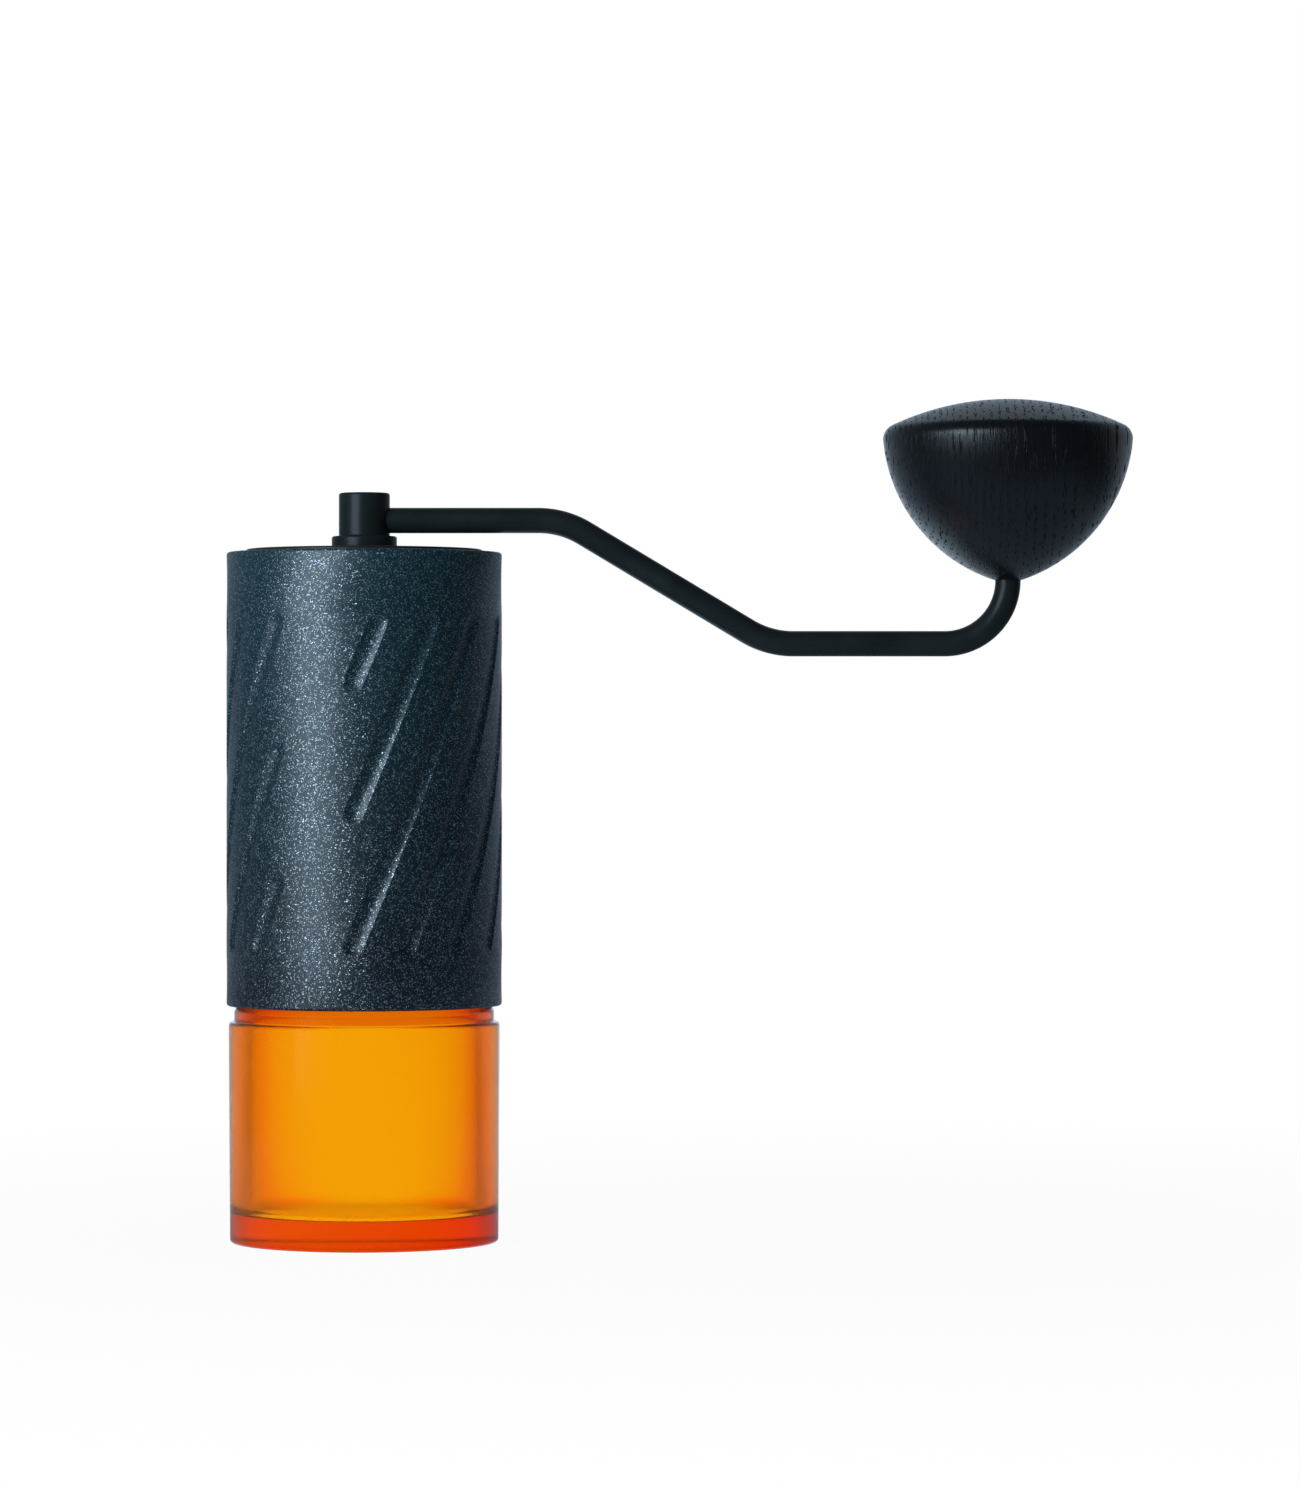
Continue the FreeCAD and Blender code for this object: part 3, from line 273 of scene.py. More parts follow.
def arc(centre, radius, start, stop, steps):
    """Points on a circle: centre + radius * (cos a, sin a), for angles a in degrees from start to stop."""
    angle = np.radians(np.linspace(start, stop, steps))
    return np.asarray(centre) + radius * np.stack([np.cos(angle), np.sin(angle)], axis=1)


def upright(radius, low, high, rows):
    """Profile points (r, z) along a cylinder: one radius, at even heights from low to high."""
    return np.stack([np.full(rows, radius), np.linspace(low, high, rows)], axis=1)


def rounded(corners, steps):
    """A profile through corners (r, z, fillet). A fillet is the arc that touches both sides of its corner:
    centre + (sin((1 - t) w) * first + sin(t w) * last) / sin w, with w the angle between its two ends."""
    stretches = []
    for index, (r, z, fillet) in enumerate(corners):
        here = np.array([r, z])
        if fillet == 0:
            stretches.append(here[None])
            continue
        back = np.array(corners[index - 1][:2]) - here
        ahead = np.array(corners[index + 1][:2]) - here
        back = back / np.linalg.norm(back)
        ahead = ahead / np.linalg.norm(ahead)
        half = math.acos(np.clip(back @ ahead, -1, 1)) / 2
        reach = fillet / math.tan(half)
        middle = (back + ahead) / np.linalg.norm(back + ahead)
        centre = here + middle * fillet / math.sin(half)
        first = here + back * reach - centre
        last = here + ahead * reach - centre
        t = np.linspace(0, 1, steps)[:, None]
        spread = math.acos(np.clip(first @ last / fillet ** 2, -1, 1))
        swing = (np.sin((1 - t) * spread) * first + np.sin(t * spread) * last) / math.sin(spread)
        stretches.append(centre + swing)
    return np.concatenate(stretches)


def turned_grid(profile, sides):
    """Angle, radius and height of every point of a profile that is turned about an axis."""
    angle = np.tile(TURN * np.arange(sides) / sides, (len(profile), 1))
    radius = np.tile(profile[:, :1], (1, sides))
    height = np.tile(profile[:, 1:], (1, sides))
    return angle, radius, height


def about_axis(angle, radius, height, centre_x=0.0):
    """Points (x + r cos a, r sin a, z) about an upright axis at x."""
    return np.stack([centre_x + radius * np.cos(angle), radius * np.sin(angle), height], axis=-1)


def rod(line, side, other, radius, sides):
    """A round rod along a line: line + radius * (cos a * side + sin a * other), closed at both ends."""
    stations = np.concatenate([[0], np.arange(len(line)), [len(line) - 1]])
    reach = np.full((len(stations), 1, 1), radius)
    reach[[0, -1]] = 0
    angle = (TURN * np.arange(sides) / sides)[:, None]
    ring = np.cos(angle) * side[stations][:, None] + np.sin(angle) * other[stations][:, None]
    return line[stations][:, None] + reach * ring


# Finishes


def new_finish(name):
    """A material with its node tree and its main shader."""
    material = bpy.data.materials.new(name)
    material.use_nodes = True
    tree = material.node_tree
    return material, tree, tree.nodes["Principled BSDF"]


def feed(tree, node, inputs):
    """Link or set a node's inputs, each given by its name or its number."""
    for key, value in inputs.items():
        if isinstance(value, bpy.types.NodeSocket):
            tree.links.new(value, node.inputs[key])
        else:
            node.inputs[key].default_value = value


def add(tree, kind, inputs=None, **settings):
    """A new node with its settings and its inputs."""
    node = tree.nodes.new(kind)
    for key, value in settings.items():
        setattr(node, key, value)
    feed(tree, node, inputs or {})
    return node


def maths(tree, operation, first, second=0.0):
    """One arithmetic node's result."""
    return add(tree, "ShaderNodeMath", {0: first, 1: second}, operation=operation).outputs[0]


def vector(tree, operation, inputs):
    """One vector arithmetic node's outputs, Vector and Value."""
    return add(tree, "ShaderNodeVectorMath", inputs, operation=operation).outputs


def axes(tree, where):
    """The X, Y and Z of a vector."""
    return add(tree, "ShaderNodeSeparateXYZ", {"Vector": where}).outputs


def blend_colour(tree, amount, first, second):
    """Two colours mixed by an amount."""
    return add(tree, "ShaderNodeMix", {0: amount, 6: first, 7: second}, data_type="RGBA").outputs[2]


def blend_value(tree, amount, first, second):
    """Two values mixed by an amount."""
    return add(tree, "ShaderNodeMix", {0: amount, 2: first, 3: second}, data_type="FLOAT").outputs[0]


def remap(tree, value, span, target):
    """A value carried from one span to another and held at its ends."""
    inputs = {0: value, 1: span[0], 2: span[1], 3: target[0], 4: target[1]}
    return add(tree, "ShaderNodeMapRange", inputs).outputs[0]


def place(tree, stretch=(1, 1, 1), shift=(0, 0, 0)):
    """Object coordinates, stretched and moved."""
    coordinates = add(tree, "ShaderNodeTexCoord").outputs["Object"]
    inputs = {"Vector": coordinates, "Location": shift, "Scale": stretch}
    return add(tree, "ShaderNodeMapping", inputs).outputs[0]


def noise(tree, where, scale, detail=2.0, roughness=0.5):
    """Fractal noise, with its outputs Fac and Color."""
    inputs = {"Vector": where, "Scale": scale, "Detail": detail, "Roughness": roughness}
    return add(tree, "ShaderNodeTexNoise", inputs).outputs


def cells(tree, where, scale):
    """Random cells: the distance from each cell's middle, and three random picks for each cell."""
    node = add(tree, "ShaderNodeTexVoronoi", {"Vector": where, "Scale": scale})
    picks = add(tree, "ShaderNodeSeparateColor", {"Color": node.outputs["Color"]})
    return node.outputs["Distance"], picks.outputs


def raised(tree, height, strength, depth):
    """A normal tilted by a height map."""
    inputs = {"Height": height, "Strength": strength, "Distance": depth}
    return add(tree, "ShaderNodeBump", inputs).outputs[0]


def coat_finish():
    """Dark blue-green powder coat: a satin ground with painted shade that darkens it towards the foot, and
    metal flecks of two sizes that tilt at random.
    """
    # Painted shade and light: the ground is darker and bluer at the foot and lighter teal at the top, as the
    # coat looked where it was lit.
    shaded_foot_ground = (0.001, 0.003, 0.008, 1)
    lit_top_ground = (0.002, 0.022, 0.031, 1)
    drift_ground = (0.006, 0.026, 0.038, 1)
    dull_fleck = (0.44, 0.65, 0.80, 1)
    pale_fleck = (0.64, 0.78, 0.94, 1)
    material, tree, shader = new_finish("barrel_coat")
    where = place(tree)
    small_pick = cells(tree, where, SMALL_FLECKS)[1]
    from_middle, large_pick = cells(tree, where, LARGE_FLECKS)
    small_fleck = remap(tree, small_pick[0], (0.90, 1.0), (0.0, 0.58))
    large_fleck = remap(tree, large_pick[0], (LARGE_FLECK_CUT, 1.0), (0.35, 0.85))
    large_fleck = maths(tree, "MULTIPLY", large_fleck, remap(tree, from_middle, (0.30, 0.50), (1.0, 0.0)))
    picked = maths(tree, "GREATER_THAN", large_pick[0], LARGE_FLECK_CUT)
    large_fleck = maths(tree, "MULTIPLY", large_fleck, picked)
    fleck = maths(tree, "MAXIMUM", small_fleck, large_fleck)
    drift = noise(tree, where, scale=90.0, detail=3.0)["Fac"]
    # Painted shade by height: the ground darkens from the top down to the foot.
    high = remap(tree, axes(tree, where)["Z"], (BARREL_BOTTOM, BARREL_TOP), (0.0, 1.0))
    ground = blend_colour(tree, high, shaded_foot_ground, lit_top_ground)
    ground = blend_colour(tree, remap(tree, drift, (0.3, 0.7), (0.0, 0.3)), ground, drift_ground)
    tint = blend_colour(tree, small_pick[1], dull_fleck, pale_fleck)
    skin = raised(tree, noise(tree, where, scale=1300.0)["Fac"], strength=0.22, depth=0.10 * MM)
    picks = {"X": large_pick[1], "Y": large_pick[2], "Z": small_pick[2]}
    tilt = add(tree, "ShaderNodeCombineXYZ", picks).outputs[0]
    tilt = vector(tree, "SUBTRACT", {0: tilt, 1: (0.5, 0.5, 0.5)})["Vector"]
    amount = maths(tree, "MULTIPLY", fleck, FLECK_TILT)
    tilt = vector(tree, "SCALE", {0: tilt, "Scale": amount})["Vector"]
    tilt = vector(tree, "ADD", {0: tilt, 1: skin})["Vector"]
    feed(tree, shader, {
        "Base Color": blend_colour(tree, fleck, ground, tint),
        "Metallic": remap(tree, fleck, (0.03, 0.36), (0.0, 0.75)),
        "Roughness": remap(tree, fleck, (0.0, 1.0), (0.41, 0.30)),
        "Normal": vector(tree, "NORMALIZE", {0: tilt})["Vector"],
        "Specular IOR Level": 0.45,
        "Specular Tint": COOL})
    return material


def satin_finish(name, ground, roughness, grain_scale, grain, shine):
    """A dark satin coating or moulding with a faint mottle in its colour and gloss, and a fine grain."""
    material, tree, shader = new_finish(name)
    where = place(tree)
    mottle = noise(tree, where, scale=0.06 * grain_scale, detail=3.0)["Fac"]
    fine = noise(tree, where, scale=grain_scale)["Fac"]
    darker = (*ground, 1)
    lighter = (*(1.35 * part for part in ground), 1)
    feed(tree, shader, {
        "Base Color": blend_colour(tree, remap(tree, mottle, (0.3, 0.7), (0.0, 1.0)), darker, lighter),
        "Roughness": remap(tree, mottle, (0.2, 0.8), (roughness - 0.04, roughness + 0.06)),
        "Normal": raised(tree, fine, strength=grain, depth=0.05 * MM),
        "Specular IOR Level": shine,
        "Specular Tint": COOL})
    return material


def wood_finish():
    """Black-stained ring-porous wood. A point's ring is the logarithm of its distance past the pith's core.
    Long pores crowd the first part of each ring, along a grain that leans back."""
    early_stain = (0.0030, 0.0037, 0.0052, 1)
    late_stain = (0.0048, 0.0060, 0.0082, 1)
    fibre_stain = (0.0075, 0.0090, 0.0120, 1)
    pore_stain = (0.0008, 0.0008, 0.0012, 1)
    material, tree, shader = new_finish("knob_wood")
    centred = place(tree, shift=(-CRANK_RADIUS, 0, -KNOB_RIM))
    lean = {"Vector": centred, "Angle": GRAIN_LEAN}
    leaned = add(tree, "ShaderNodeVectorRotate", lean, rotation_type="X_AXIS").outputs[0]
    sway = noise(tree, leaned, scale=45.0)["Color"]
    bent = vector(tree, "MULTIPLY_ADD", {0: sway, 1: GRAIN_SWAY, 2: leaned})["Vector"]
    across = vector(tree, "MULTIPLY", {0: bent, 1: (1, 1, 0)})["Vector"]
    from_pith = vector(tree, "DISTANCE", {0: across, 1: PITH})["Value"]
    from_core = maths(tree, "SUBTRACT", from_pith, PITH_CORE)
    rings = maths(tree, "LOGARITHM", from_core, RING_GROWTH)
    ring = maths(tree, "FRACT", rings)
    grain = axes(tree, bent)
    pore_place = add(tree, "ShaderNodeCombineXYZ", {
        "X": maths(tree, "MULTIPLY", rings, PORES_A_RING),
        "Y": maths(tree, "DIVIDE", grain["Y"], PORE_WIDTH),
        "Z": maths(tree, "DIVIDE", grain["Z"], PORE_LENGTH)}).outputs[0]
    from_middle, pick = cells(tree, pore_place, scale=1.0)
    share = remap(tree, ring, (0.30, 0.45), (0.92, 0.10))
    pore = remap(tree, from_middle, (0.28, 0.46), (1.0, 0.0))
    pore = maths(tree, "MULTIPLY", pore, maths(tree, "LESS_THAN", pick[0], share))
    fibre = noise(tree, pore_place, scale=1.6, detail=3.0, roughness=0.6)["Fac"]
    ground = blend_colour(tree, ring, early_stain, late_stain)
    ground = blend_colour(tree, remap(tree, fibre, (0.3, 0.75), (0.0, 0.6)), ground, fibre_stain)
    height = maths(tree, "SUBTRACT", maths(tree, "MULTIPLY", fibre, 0.6), pore)
    feed(tree, shader, {
        "Base Color": blend_colour(tree, pore, ground, pore_stain),
        "Roughness": remap(tree, pore, (0.0, 1.0), (0.28, 0.80)),
        "Normal": raised(tree, height, strength=0.8, depth=0.13 * MM),
        "Specular IOR Level": 0.36,
        "Specular Tint": COOL})
    return material


def jar_finish():
    """Clear orange polymer with a little haze: light is tinted by the depth of material that it crosses.
    The collar and neck are a deeper orange."""
    body_tint = (1.0, 0.78, 0.04, 1)
    collar_tint = (0.84, 0.32, 0.02, 1)
    depth_tint = (0.99, 0.855, 0.05, 1)
    gloss_tint = (0.05, 0.02, 0.0, 1)
    material, tree, shader = new_finish("jar_polymer")
    where = place(tree)
    haze = noise(tree, where, scale=240.0)["Fac"]
    collar = remap(tree, axes(tree, where)["Z"], (JAR_HEIGHT, JAR_HEIGHT + 0.3 * MM), (0.0, 1.0))
    feed(tree, shader, {
        "Base Color": blend_colour(tree, collar, body_tint, collar_tint),
        "Roughness": remap(tree, haze, (0.3, 0.7), (0.10, 0.14)),
        "Transmission Weight": 0.96,
        "IOR": 1.5,
        "Specular Tint": gloss_tint})
    depth = add(tree, "ShaderNodeVolumeAbsorption", {"Color": depth_tint, "Density": 400.0})
    feed(tree, tree.nodes["Material Output"], {"Volume": depth.outputs[0]})
    return material


def steel_finish(name, ground, roughness, lines):
    """Turned or ground steel: fine rings about the axis vary its gloss, and a faint stain its colour."""
    material, tree, shader = new_finish(name)
    ring = noise(tree, place(tree, stretch=(0.25, 0.25, 1)), scale=lines)["Fac"]
    stain = noise(tree, place(tree), scale=160.0, detail=3.0)["Fac"]
    darker = (*(0.88 * part for part in ground), 1)
    lighter = (*ground, 1)
    feed(tree, shader, {
        "Base Color": blend_colour(tree, remap(tree, stain, (0.3, 0.7), (0.0, 1.0)), darker, lighter),
        "Roughness": remap(tree, ring, (0.3, 0.7), (roughness - 0.05, roughness + 0.08)),
        "Normal": raised(tree, ring, strength=0.12, depth=0.03 * MM),
        "Metallic": 1.0})
    return material


# Ground colour, roughness, grain to the metre, strength of the grain, level of gloss
SATIN_LOOKS = {
    "crank_finish": ((0.0085, 0.0130, 0.0145), 0.30, 2600.0, 0.06, 0.12),
    "frame_polymer": ((0.012, 0.012, 0.0125), 0.48, 3200.0, 0.15, 0.3),
    "lid_polymer": ((0.010, 0.010, 0.011), 0.42, 3200.0, 0.15, 0.3),
    "cage_polymer": ((0.03, 0.03, 0.032), 0.5, 3600.0, 0.1, 0.3),
    "seal_rubber": ((0.012, 0.012, 0.012), 0.68, 2800.0, 0.2, 0.3),
}

# Ground colour, roughness, turning lines to the metre
STEEL_LOOKS = {
    "burr_steel": ((0.52, 0.51, 0.49), 0.30, 2600.0),
    "retainer_steel": ((0.58, 0.58, 0.57), 0.34, 2200.0),
    "axle_steel": ((0.56, 0.56, 0.55), 0.26, 2800.0),
    "spring_steel": ((0.46, 0.46, 0.46), 0.32, 3000.0),
    "bearing_steel": ((0.66, 0.66, 0.66), 0.14, 1500.0),
    "dial_metal": ((0.035, 0.035, 0.038), 0.38, 2400.0),
}

FINISHES = {"barrel_coat": coat_finish(), "knob_wood": wood_finish(), "jar_polymer": jar_finish()}
for slot, look in SATIN_LOOKS.items():
    FINISHES[slot] = satin_finish(slot, *look)
for slot, look in STEEL_LOOKS.items():
    FINISHES[slot] = steel_finish(slot, *look)

SLOT_OF = {entry["node"]: entry["material_slot"] for entry in frame["record"]["subparts"]}
for node, thing in frame["nodes"].items():
    thing.data.materials.clear()
    thing.data.materials.append(FINISHES[SLOT_OF[node]])


# Pieces


def flute_lines():
    """(low, high, angle at low) of each flute, stopped where it would cross the bare panel."""
    lines = []
    for step in range(FLUTE_COUNT):
        beyond = TURN / FLUTE_COUNT * step
        stop = FLUTE_BOTTOM + (TURN - PANEL_WIDTH - beyond) / FLUTE_RATE
        again = FLUTE_BOTTOM + (TURN - beyond) / FLUTE_RATE
        if min(stop, FLUTE_TOP) - FLUTE_BOTTOM > FLUTE_NOSE:
            lines.append((FLUTE_BOTTOM, min(stop, FLUTE_TOP), PANEL_END + beyond))
        if FLUTE_TOP - again > FLUTE_NOSE:
            lines.append((again, FLUTE_TOP, PANEL_END))
    return lines


def fluted_radius(angle, height):
    """Radius of the barrel's skin: a soft minimum of the plain cylinder and of the round trough
    path - sqrt(nose^2 - d^2), where d is the distance over the skin to the nearest flute's middle line."""
    lean = math.atan(BARREL_RADIUS * FLUTE_RATE)
    along = np.array([math.sin(lean), math.cos(lean)])
    nearest = np.full(angle.shape, np.inf)
    for low, high, start in flute_lines():
        turned = FLUTE_RATE * (height - low)
        across = (angle - start + math.pi) % TURN - math.pi
        across = np.where(across - turned > math.pi, across - TURN, across)
        across = np.where(across - turned < -math.pi, across + TURN, across)
        offset = np.stack([BARREL_RADIUS * across, height - low], axis=-1)
        reach = np.clip(offset @ along, 0, (high - low) / along[1])
        nearest = np.minimum(nearest, np.linalg.norm(offset - reach[..., None] * along, axis=-1))
    path = BARREL_RADIUS + FLUTE_NOSE - FLUTE_DEPTH
    trough = path - np.sqrt(np.maximum(FLUTE_NOSE ** 2 - nearest ** 2, 0.0))
    mix = np.clip(0.5 + 0.5 * (BARREL_RADIUS - trough) / FLUTE_SOFTNESS, 0, 1)
    return BARREL_RADIUS + (trough - BARREL_RADIUS) * mix - FLUTE_SOFTNESS * mix * (1 - mix)


def barrel_skin():
    """The fluted tube: columns lean with the flutes, so a column's angle is start + rate * height, and rows
    follow the closed profile of the wall; only rows on the outer wall take the fluted radius."""
    pitch = TURN / FLUTE_COUNT
    flank = np.linspace(TROUGH_HALF_WIDTH, FLANK_HALF_WIDTH, FLANK_COLUMNS)
    trough = np.linspace(-TROUGH_HALF_WIDTH, TROUGH_HALF_WIDTH, TROUGH_COLUMNS)[1:-1]
    plain = np.linspace(FLANK_HALF_WIDTH, pitch - FLANK_HALF_WIDTH, PLAIN_COLUMNS)[1:-1]
    offsets = np.concatenate([-flank[::-1], trough, flank, plain])
    middles = PANEL_END + pitch * np.arange(FLUTE_COUNT)
    start = (middles[:, None] + offsets).reshape(-1)
    outside = rounded([
        (BARREL_BORE, BARREL_BOTTOM, 0), (BARREL_RADIUS, BARREL_BOTTOM, BARREL_EDGE),
        (BARREL_RADIUS, BARREL_TOP, BARREL_EDGE), (BARREL_BORE, BARREL_TOP, 0)], FILLET_STEPS)
    half = len(outside) // 2
    wall = upright(BARREL_RADIUS, FLUTE_BOTTOM - FLUTE_MARGIN, FLUTE_TOP + FLUTE_MARGIN, FLUTE_ROWS)
    bore = upright(BARREL_BORE, BARREL_TOP, BARREL_BOTTOM, BORE_ROWS)[1:-1]
    profile = np.concatenate([outside[:half], wall, outside[half:], bore])
    radius = np.tile(profile[:, :1], (1, len(start)))
    height = np.tile(profile[:, 1:], (1, len(start)))
    angle = start + FLUTE_RATE * (height - FLUTE_BOTTOM)
    fluted = slice(half, half + FLUTE_ROWS)
    radius[fluted] = fluted_radius(angle[fluted], height[fluted])
    points = about_axis(angle, radius, height)
    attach(make_piece("barrel_skin", points, "barrel_shell", closed=True), "body")


def thread_ridge(angle, height):
    """How far the neck's thread stands out: a flat-topped ridge that fades at both ends, round the line
    height = start + lead * turns."""
    ridge = np.zeros(angle.shape)
    for start in range(THREAD_STARTS):
        turns = (angle / TURN - start / THREAD_STARTS) % 1.0
        middle = THREAD_START + THREAD_LEAD * turns
        shape = np.clip((THREAD_HALF_WIDTH - np.abs(height - middle)) / THREAD_FLANK, 0, 1)
        begin = np.clip(turns / THREAD_FADE, 0, 1)
        end = np.clip((THREAD_RISE / THREAD_LEAD - turns) / THREAD_FADE, 0, 1)
        ridge = np.maximum(ridge, THREAD_HEIGHT * shape * begin * end)
    return ridge


def jar_cup():
    """The jar as a turned wall, outside then inside, with the thread's ridge added to the neck's radius."""
    outside = rounded([
        (0, 0, 0), (JAR_FOOT_RADIUS, 0, JAR_FOOT_FILLET),
        (JAR_SHOULDER_RADIUS, JAR_HEIGHT, JAR_SHOULDER_FILLET),
        (COLLAR_RADIUS, JAR_HEIGHT, COLLAR_ROOT_FILLET),
        (COLLAR_RADIUS, BARREL_BOTTOM - COLLAR_SLOPE_HEIGHT, COLLAR_FILLET),
        (COLLAR_RADIUS - COLLAR_SLOPE_WIDTH, BARREL_BOTTOM, COLLAR_TOP_FILLET),
        (NECK_RADIUS, BARREL_BOTTOM, 0)], JAR_FILLET_STEPS)
    neck = upright(NECK_RADIUS, BARREL_BOTTOM, SEAL_BOTTOM, NECK_ROWS)[1:-1]
    inside = rounded([
        (NECK_RADIUS, SEAL_BOTTOM, 0), (SEAL_RADIUS, SEAL_BOTTOM, 0), (SEAL_RADIUS, SEAL_TOP, 0),
        (NECK_RADIUS, SEAL_TOP, 0), (NECK_RADIUS, NECK_TOP, NECK_FILLET), (NECK_BORE, NECK_TOP, NECK_FILLET),
        (NECK_BORE, BORE_STEP_TOP, BORE_STEP_FILLET), (JAR_BORE, BORE_STEP, BORE_STEP_FILLET),
        (JAR_BORE, JAR_FLOOR, JAR_FLOOR_FILLET), (0, JAR_FLOOR, 0)], JAR_FILLET_STEPS)
    angle, radius, height = turned_grid(np.concatenate([outside, neck, inside]), JAR_SIDES)
    threaded = slice(len(outside), len(outside) + len(neck))
    radius[threaded] += thread_ridge(angle[threaded], height[threaded])
    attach(make_piece("jar_cup", about_axis(angle, radius, height), "jar"), "jar")


def lid_plug():
    """The lid as a turned plate with a skirt that drops into the hopper."""
    hole = SLEEVE_RADIUS + LID_CLEARANCE
    profile = rounded([
        (hole, LID_TOP, 0), (LID_RADIUS, LID_TOP, LID_TOP_FILLET), (LID_RADIUS, LID_SEAT, LID_SEAT_FILLET),
        (SKIRT_RADIUS, LID_SEAT, 0), (SKIRT_RADIUS, LID_BOTTOM, SKIRT_FILLET),
        (SKIRT_RADIUS - SKIRT_WALL, LID_BOTTOM, SKIRT_FILLET),
        (SKIRT_RADIUS - SKIRT_WALL, LID_SEAT, SKIRT_ROOT_FILLET), (hole, LID_SEAT, 0)], FILLET_STEPS)
    points = about_axis(*turned_grid(profile, LID_SIDES))
    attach(make_piece("lid_plug", points, "lid", closed=True), "lid")


def hub_boss():
    """The crank's hub: turned outside, and inside a hexagon socket of radius half flats / cos(angle from the
    middle of a flat)."""
    outside = rounded([
        (SOCKET_HALF_FLATS, HUB_BOTTOM, 0), (SLEEVE_RADIUS, HUB_BOTTOM, SLEEVE_FILLET),
        (SLEEVE_RADIUS, CLIP_BOTTOM, 0), (CLIP_RADIUS, CLIP_BOTTOM, 0), (CLIP_RADIUS, CLIP_TOP, 0),
        (SLEEVE_RADIUS, CLIP_TOP, 0), (SLEEVE_RADIUS, FLANGE_BOTTOM, 0),
        (FLANGE_RADIUS, FLANGE_BOTTOM, FLANGE_FOOT_FILLET), (FLANGE_RADIUS, FLANGE_TOP, FLANGE_TOP_FILLET),
        (HUB_RADIUS, FLANGE_TOP, HUB_ROOT_FILLET), (HUB_RADIUS, HUB_TOP, HUB_TOP_FILLET),
        (0, HUB_TOP, 0)], HUB_FILLET_STEPS)
    inside = np.array([[0, SOCKET_TOP], [SOCKET_HALF_FLATS, SOCKET_TOP]])
    angle, radius, height = turned_grid(np.concatenate([outside, inside]), HUB_SIDES)
    from_flat = angle % (TURN / SOCKET_SIDES) - TURN / SOCKET_SIDES / 2
    radius = np.where(radius == SOCKET_HALF_FLATS, radius / np.cos(from_flat), radius)
    points = about_axis(angle, radius, height)
    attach(make_piece("hub_boss", points, "crank_hub", closed=True), "crank")


def arm_line(steps):
    """Centre line of the rod in the XZ plane, with its heading: level, down a slope, level, then up a pin.
    The slope is the straight line that touches both of its bends."""
    across = LOWER_RUN_START - UPPER_RUN_END
    down = UPPER_RUN - LOWER_RUN
    straight = math.sqrt(across ** 2 + down ** 2 - 4 * SLOPE_BEND * down)
    slope = math.atan2(2 * SLOPE_BEND, straight) - math.atan2(2 * SLOPE_BEND - down, across)
    slope = math.degrees(slope)
    pin_foot = LOWER_RUN + PIN_BEND
    line = np.concatenate([
        [[ARM_ROOT, UPPER_RUN]],
        arc((UPPER_RUN_END, UPPER_RUN - SLOPE_BEND), SLOPE_BEND, 90, 90 - slope, steps),
        arc((LOWER_RUN_START, LOWER_RUN + SLOPE_BEND), SLOPE_BEND, -90 - slope, -90, steps),
        arc((CRANK_RADIUS - PIN_BEND, pin_foot), PIN_BEND, -90, 0, 2 * steps),
        [[CRANK_RADIUS, (pin_foot + PIN_TOP) / 2], [CRANK_RADIUS, PIN_TOP]]])
    heading = np.concatenate([
        [0], -np.linspace(0, slope, steps), -np.linspace(slope, 0, steps),
        np.linspace(0, 90, 2 * steps), [90, 90]])
    return line, np.radians(heading)


def bent_arm():
    """The crank's rod along its bent line in the XZ plane."""
    flat, heading = arm_line(BEND_STEPS)
    level = np.zeros(len(flat))
    line = np.stack([flat[:, 0], level, flat[:, 1]], axis=1)
    side = np.stack([-np.sin(heading), level, np.cos(heading)], axis=1)
    other = np.broadcast_to([0.0, 1.0, 0.0], line.shape)
    points = rod(line, side, other, ARM_RADIUS, ROD_SIDES)
    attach(make_piece("bent_arm", points, "crank_arm"), "crank")


def coil_spring():
    """The burr's spring: a round wire along the helix (r cos a, r sin a, low + rise * a)."""
    turned = np.linspace(0, TURN * SPRING_TURNS, WIRE_STEPS * SPRING_TURNS + 1)
    rise = (SPRING_TOP - SPRING_BOTTOM - SPRING_WIRE) / turned[-1]
    slope = math.atan(rise / SPRING_RADIUS)
    level = np.zeros(len(turned))
    outward = np.stack([np.cos(turned), np.sin(turned), level], axis=1)
    line = SPRING_RADIUS * outward
    line[:, 2] = SPRING_BOTTOM + SPRING_WIRE / 2 + rise * turned
    backward = np.stack([np.sin(turned), -np.cos(turned), level], axis=1)
    across = math.sin(slope) * backward + math.cos(slope) * np.array([0.0, 0.0, 1.0])
    points = rod(line, outward, across, SPRING_WIRE / 2, WIRE_SIDES)
    piece = make_piece("coil_spring", points, "burr_spring")
    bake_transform(piece)


def heading_of(step):
    """Direction of a step (r, z) in degrees."""
    return math.degrees(math.atan2(step[1], step[0]))


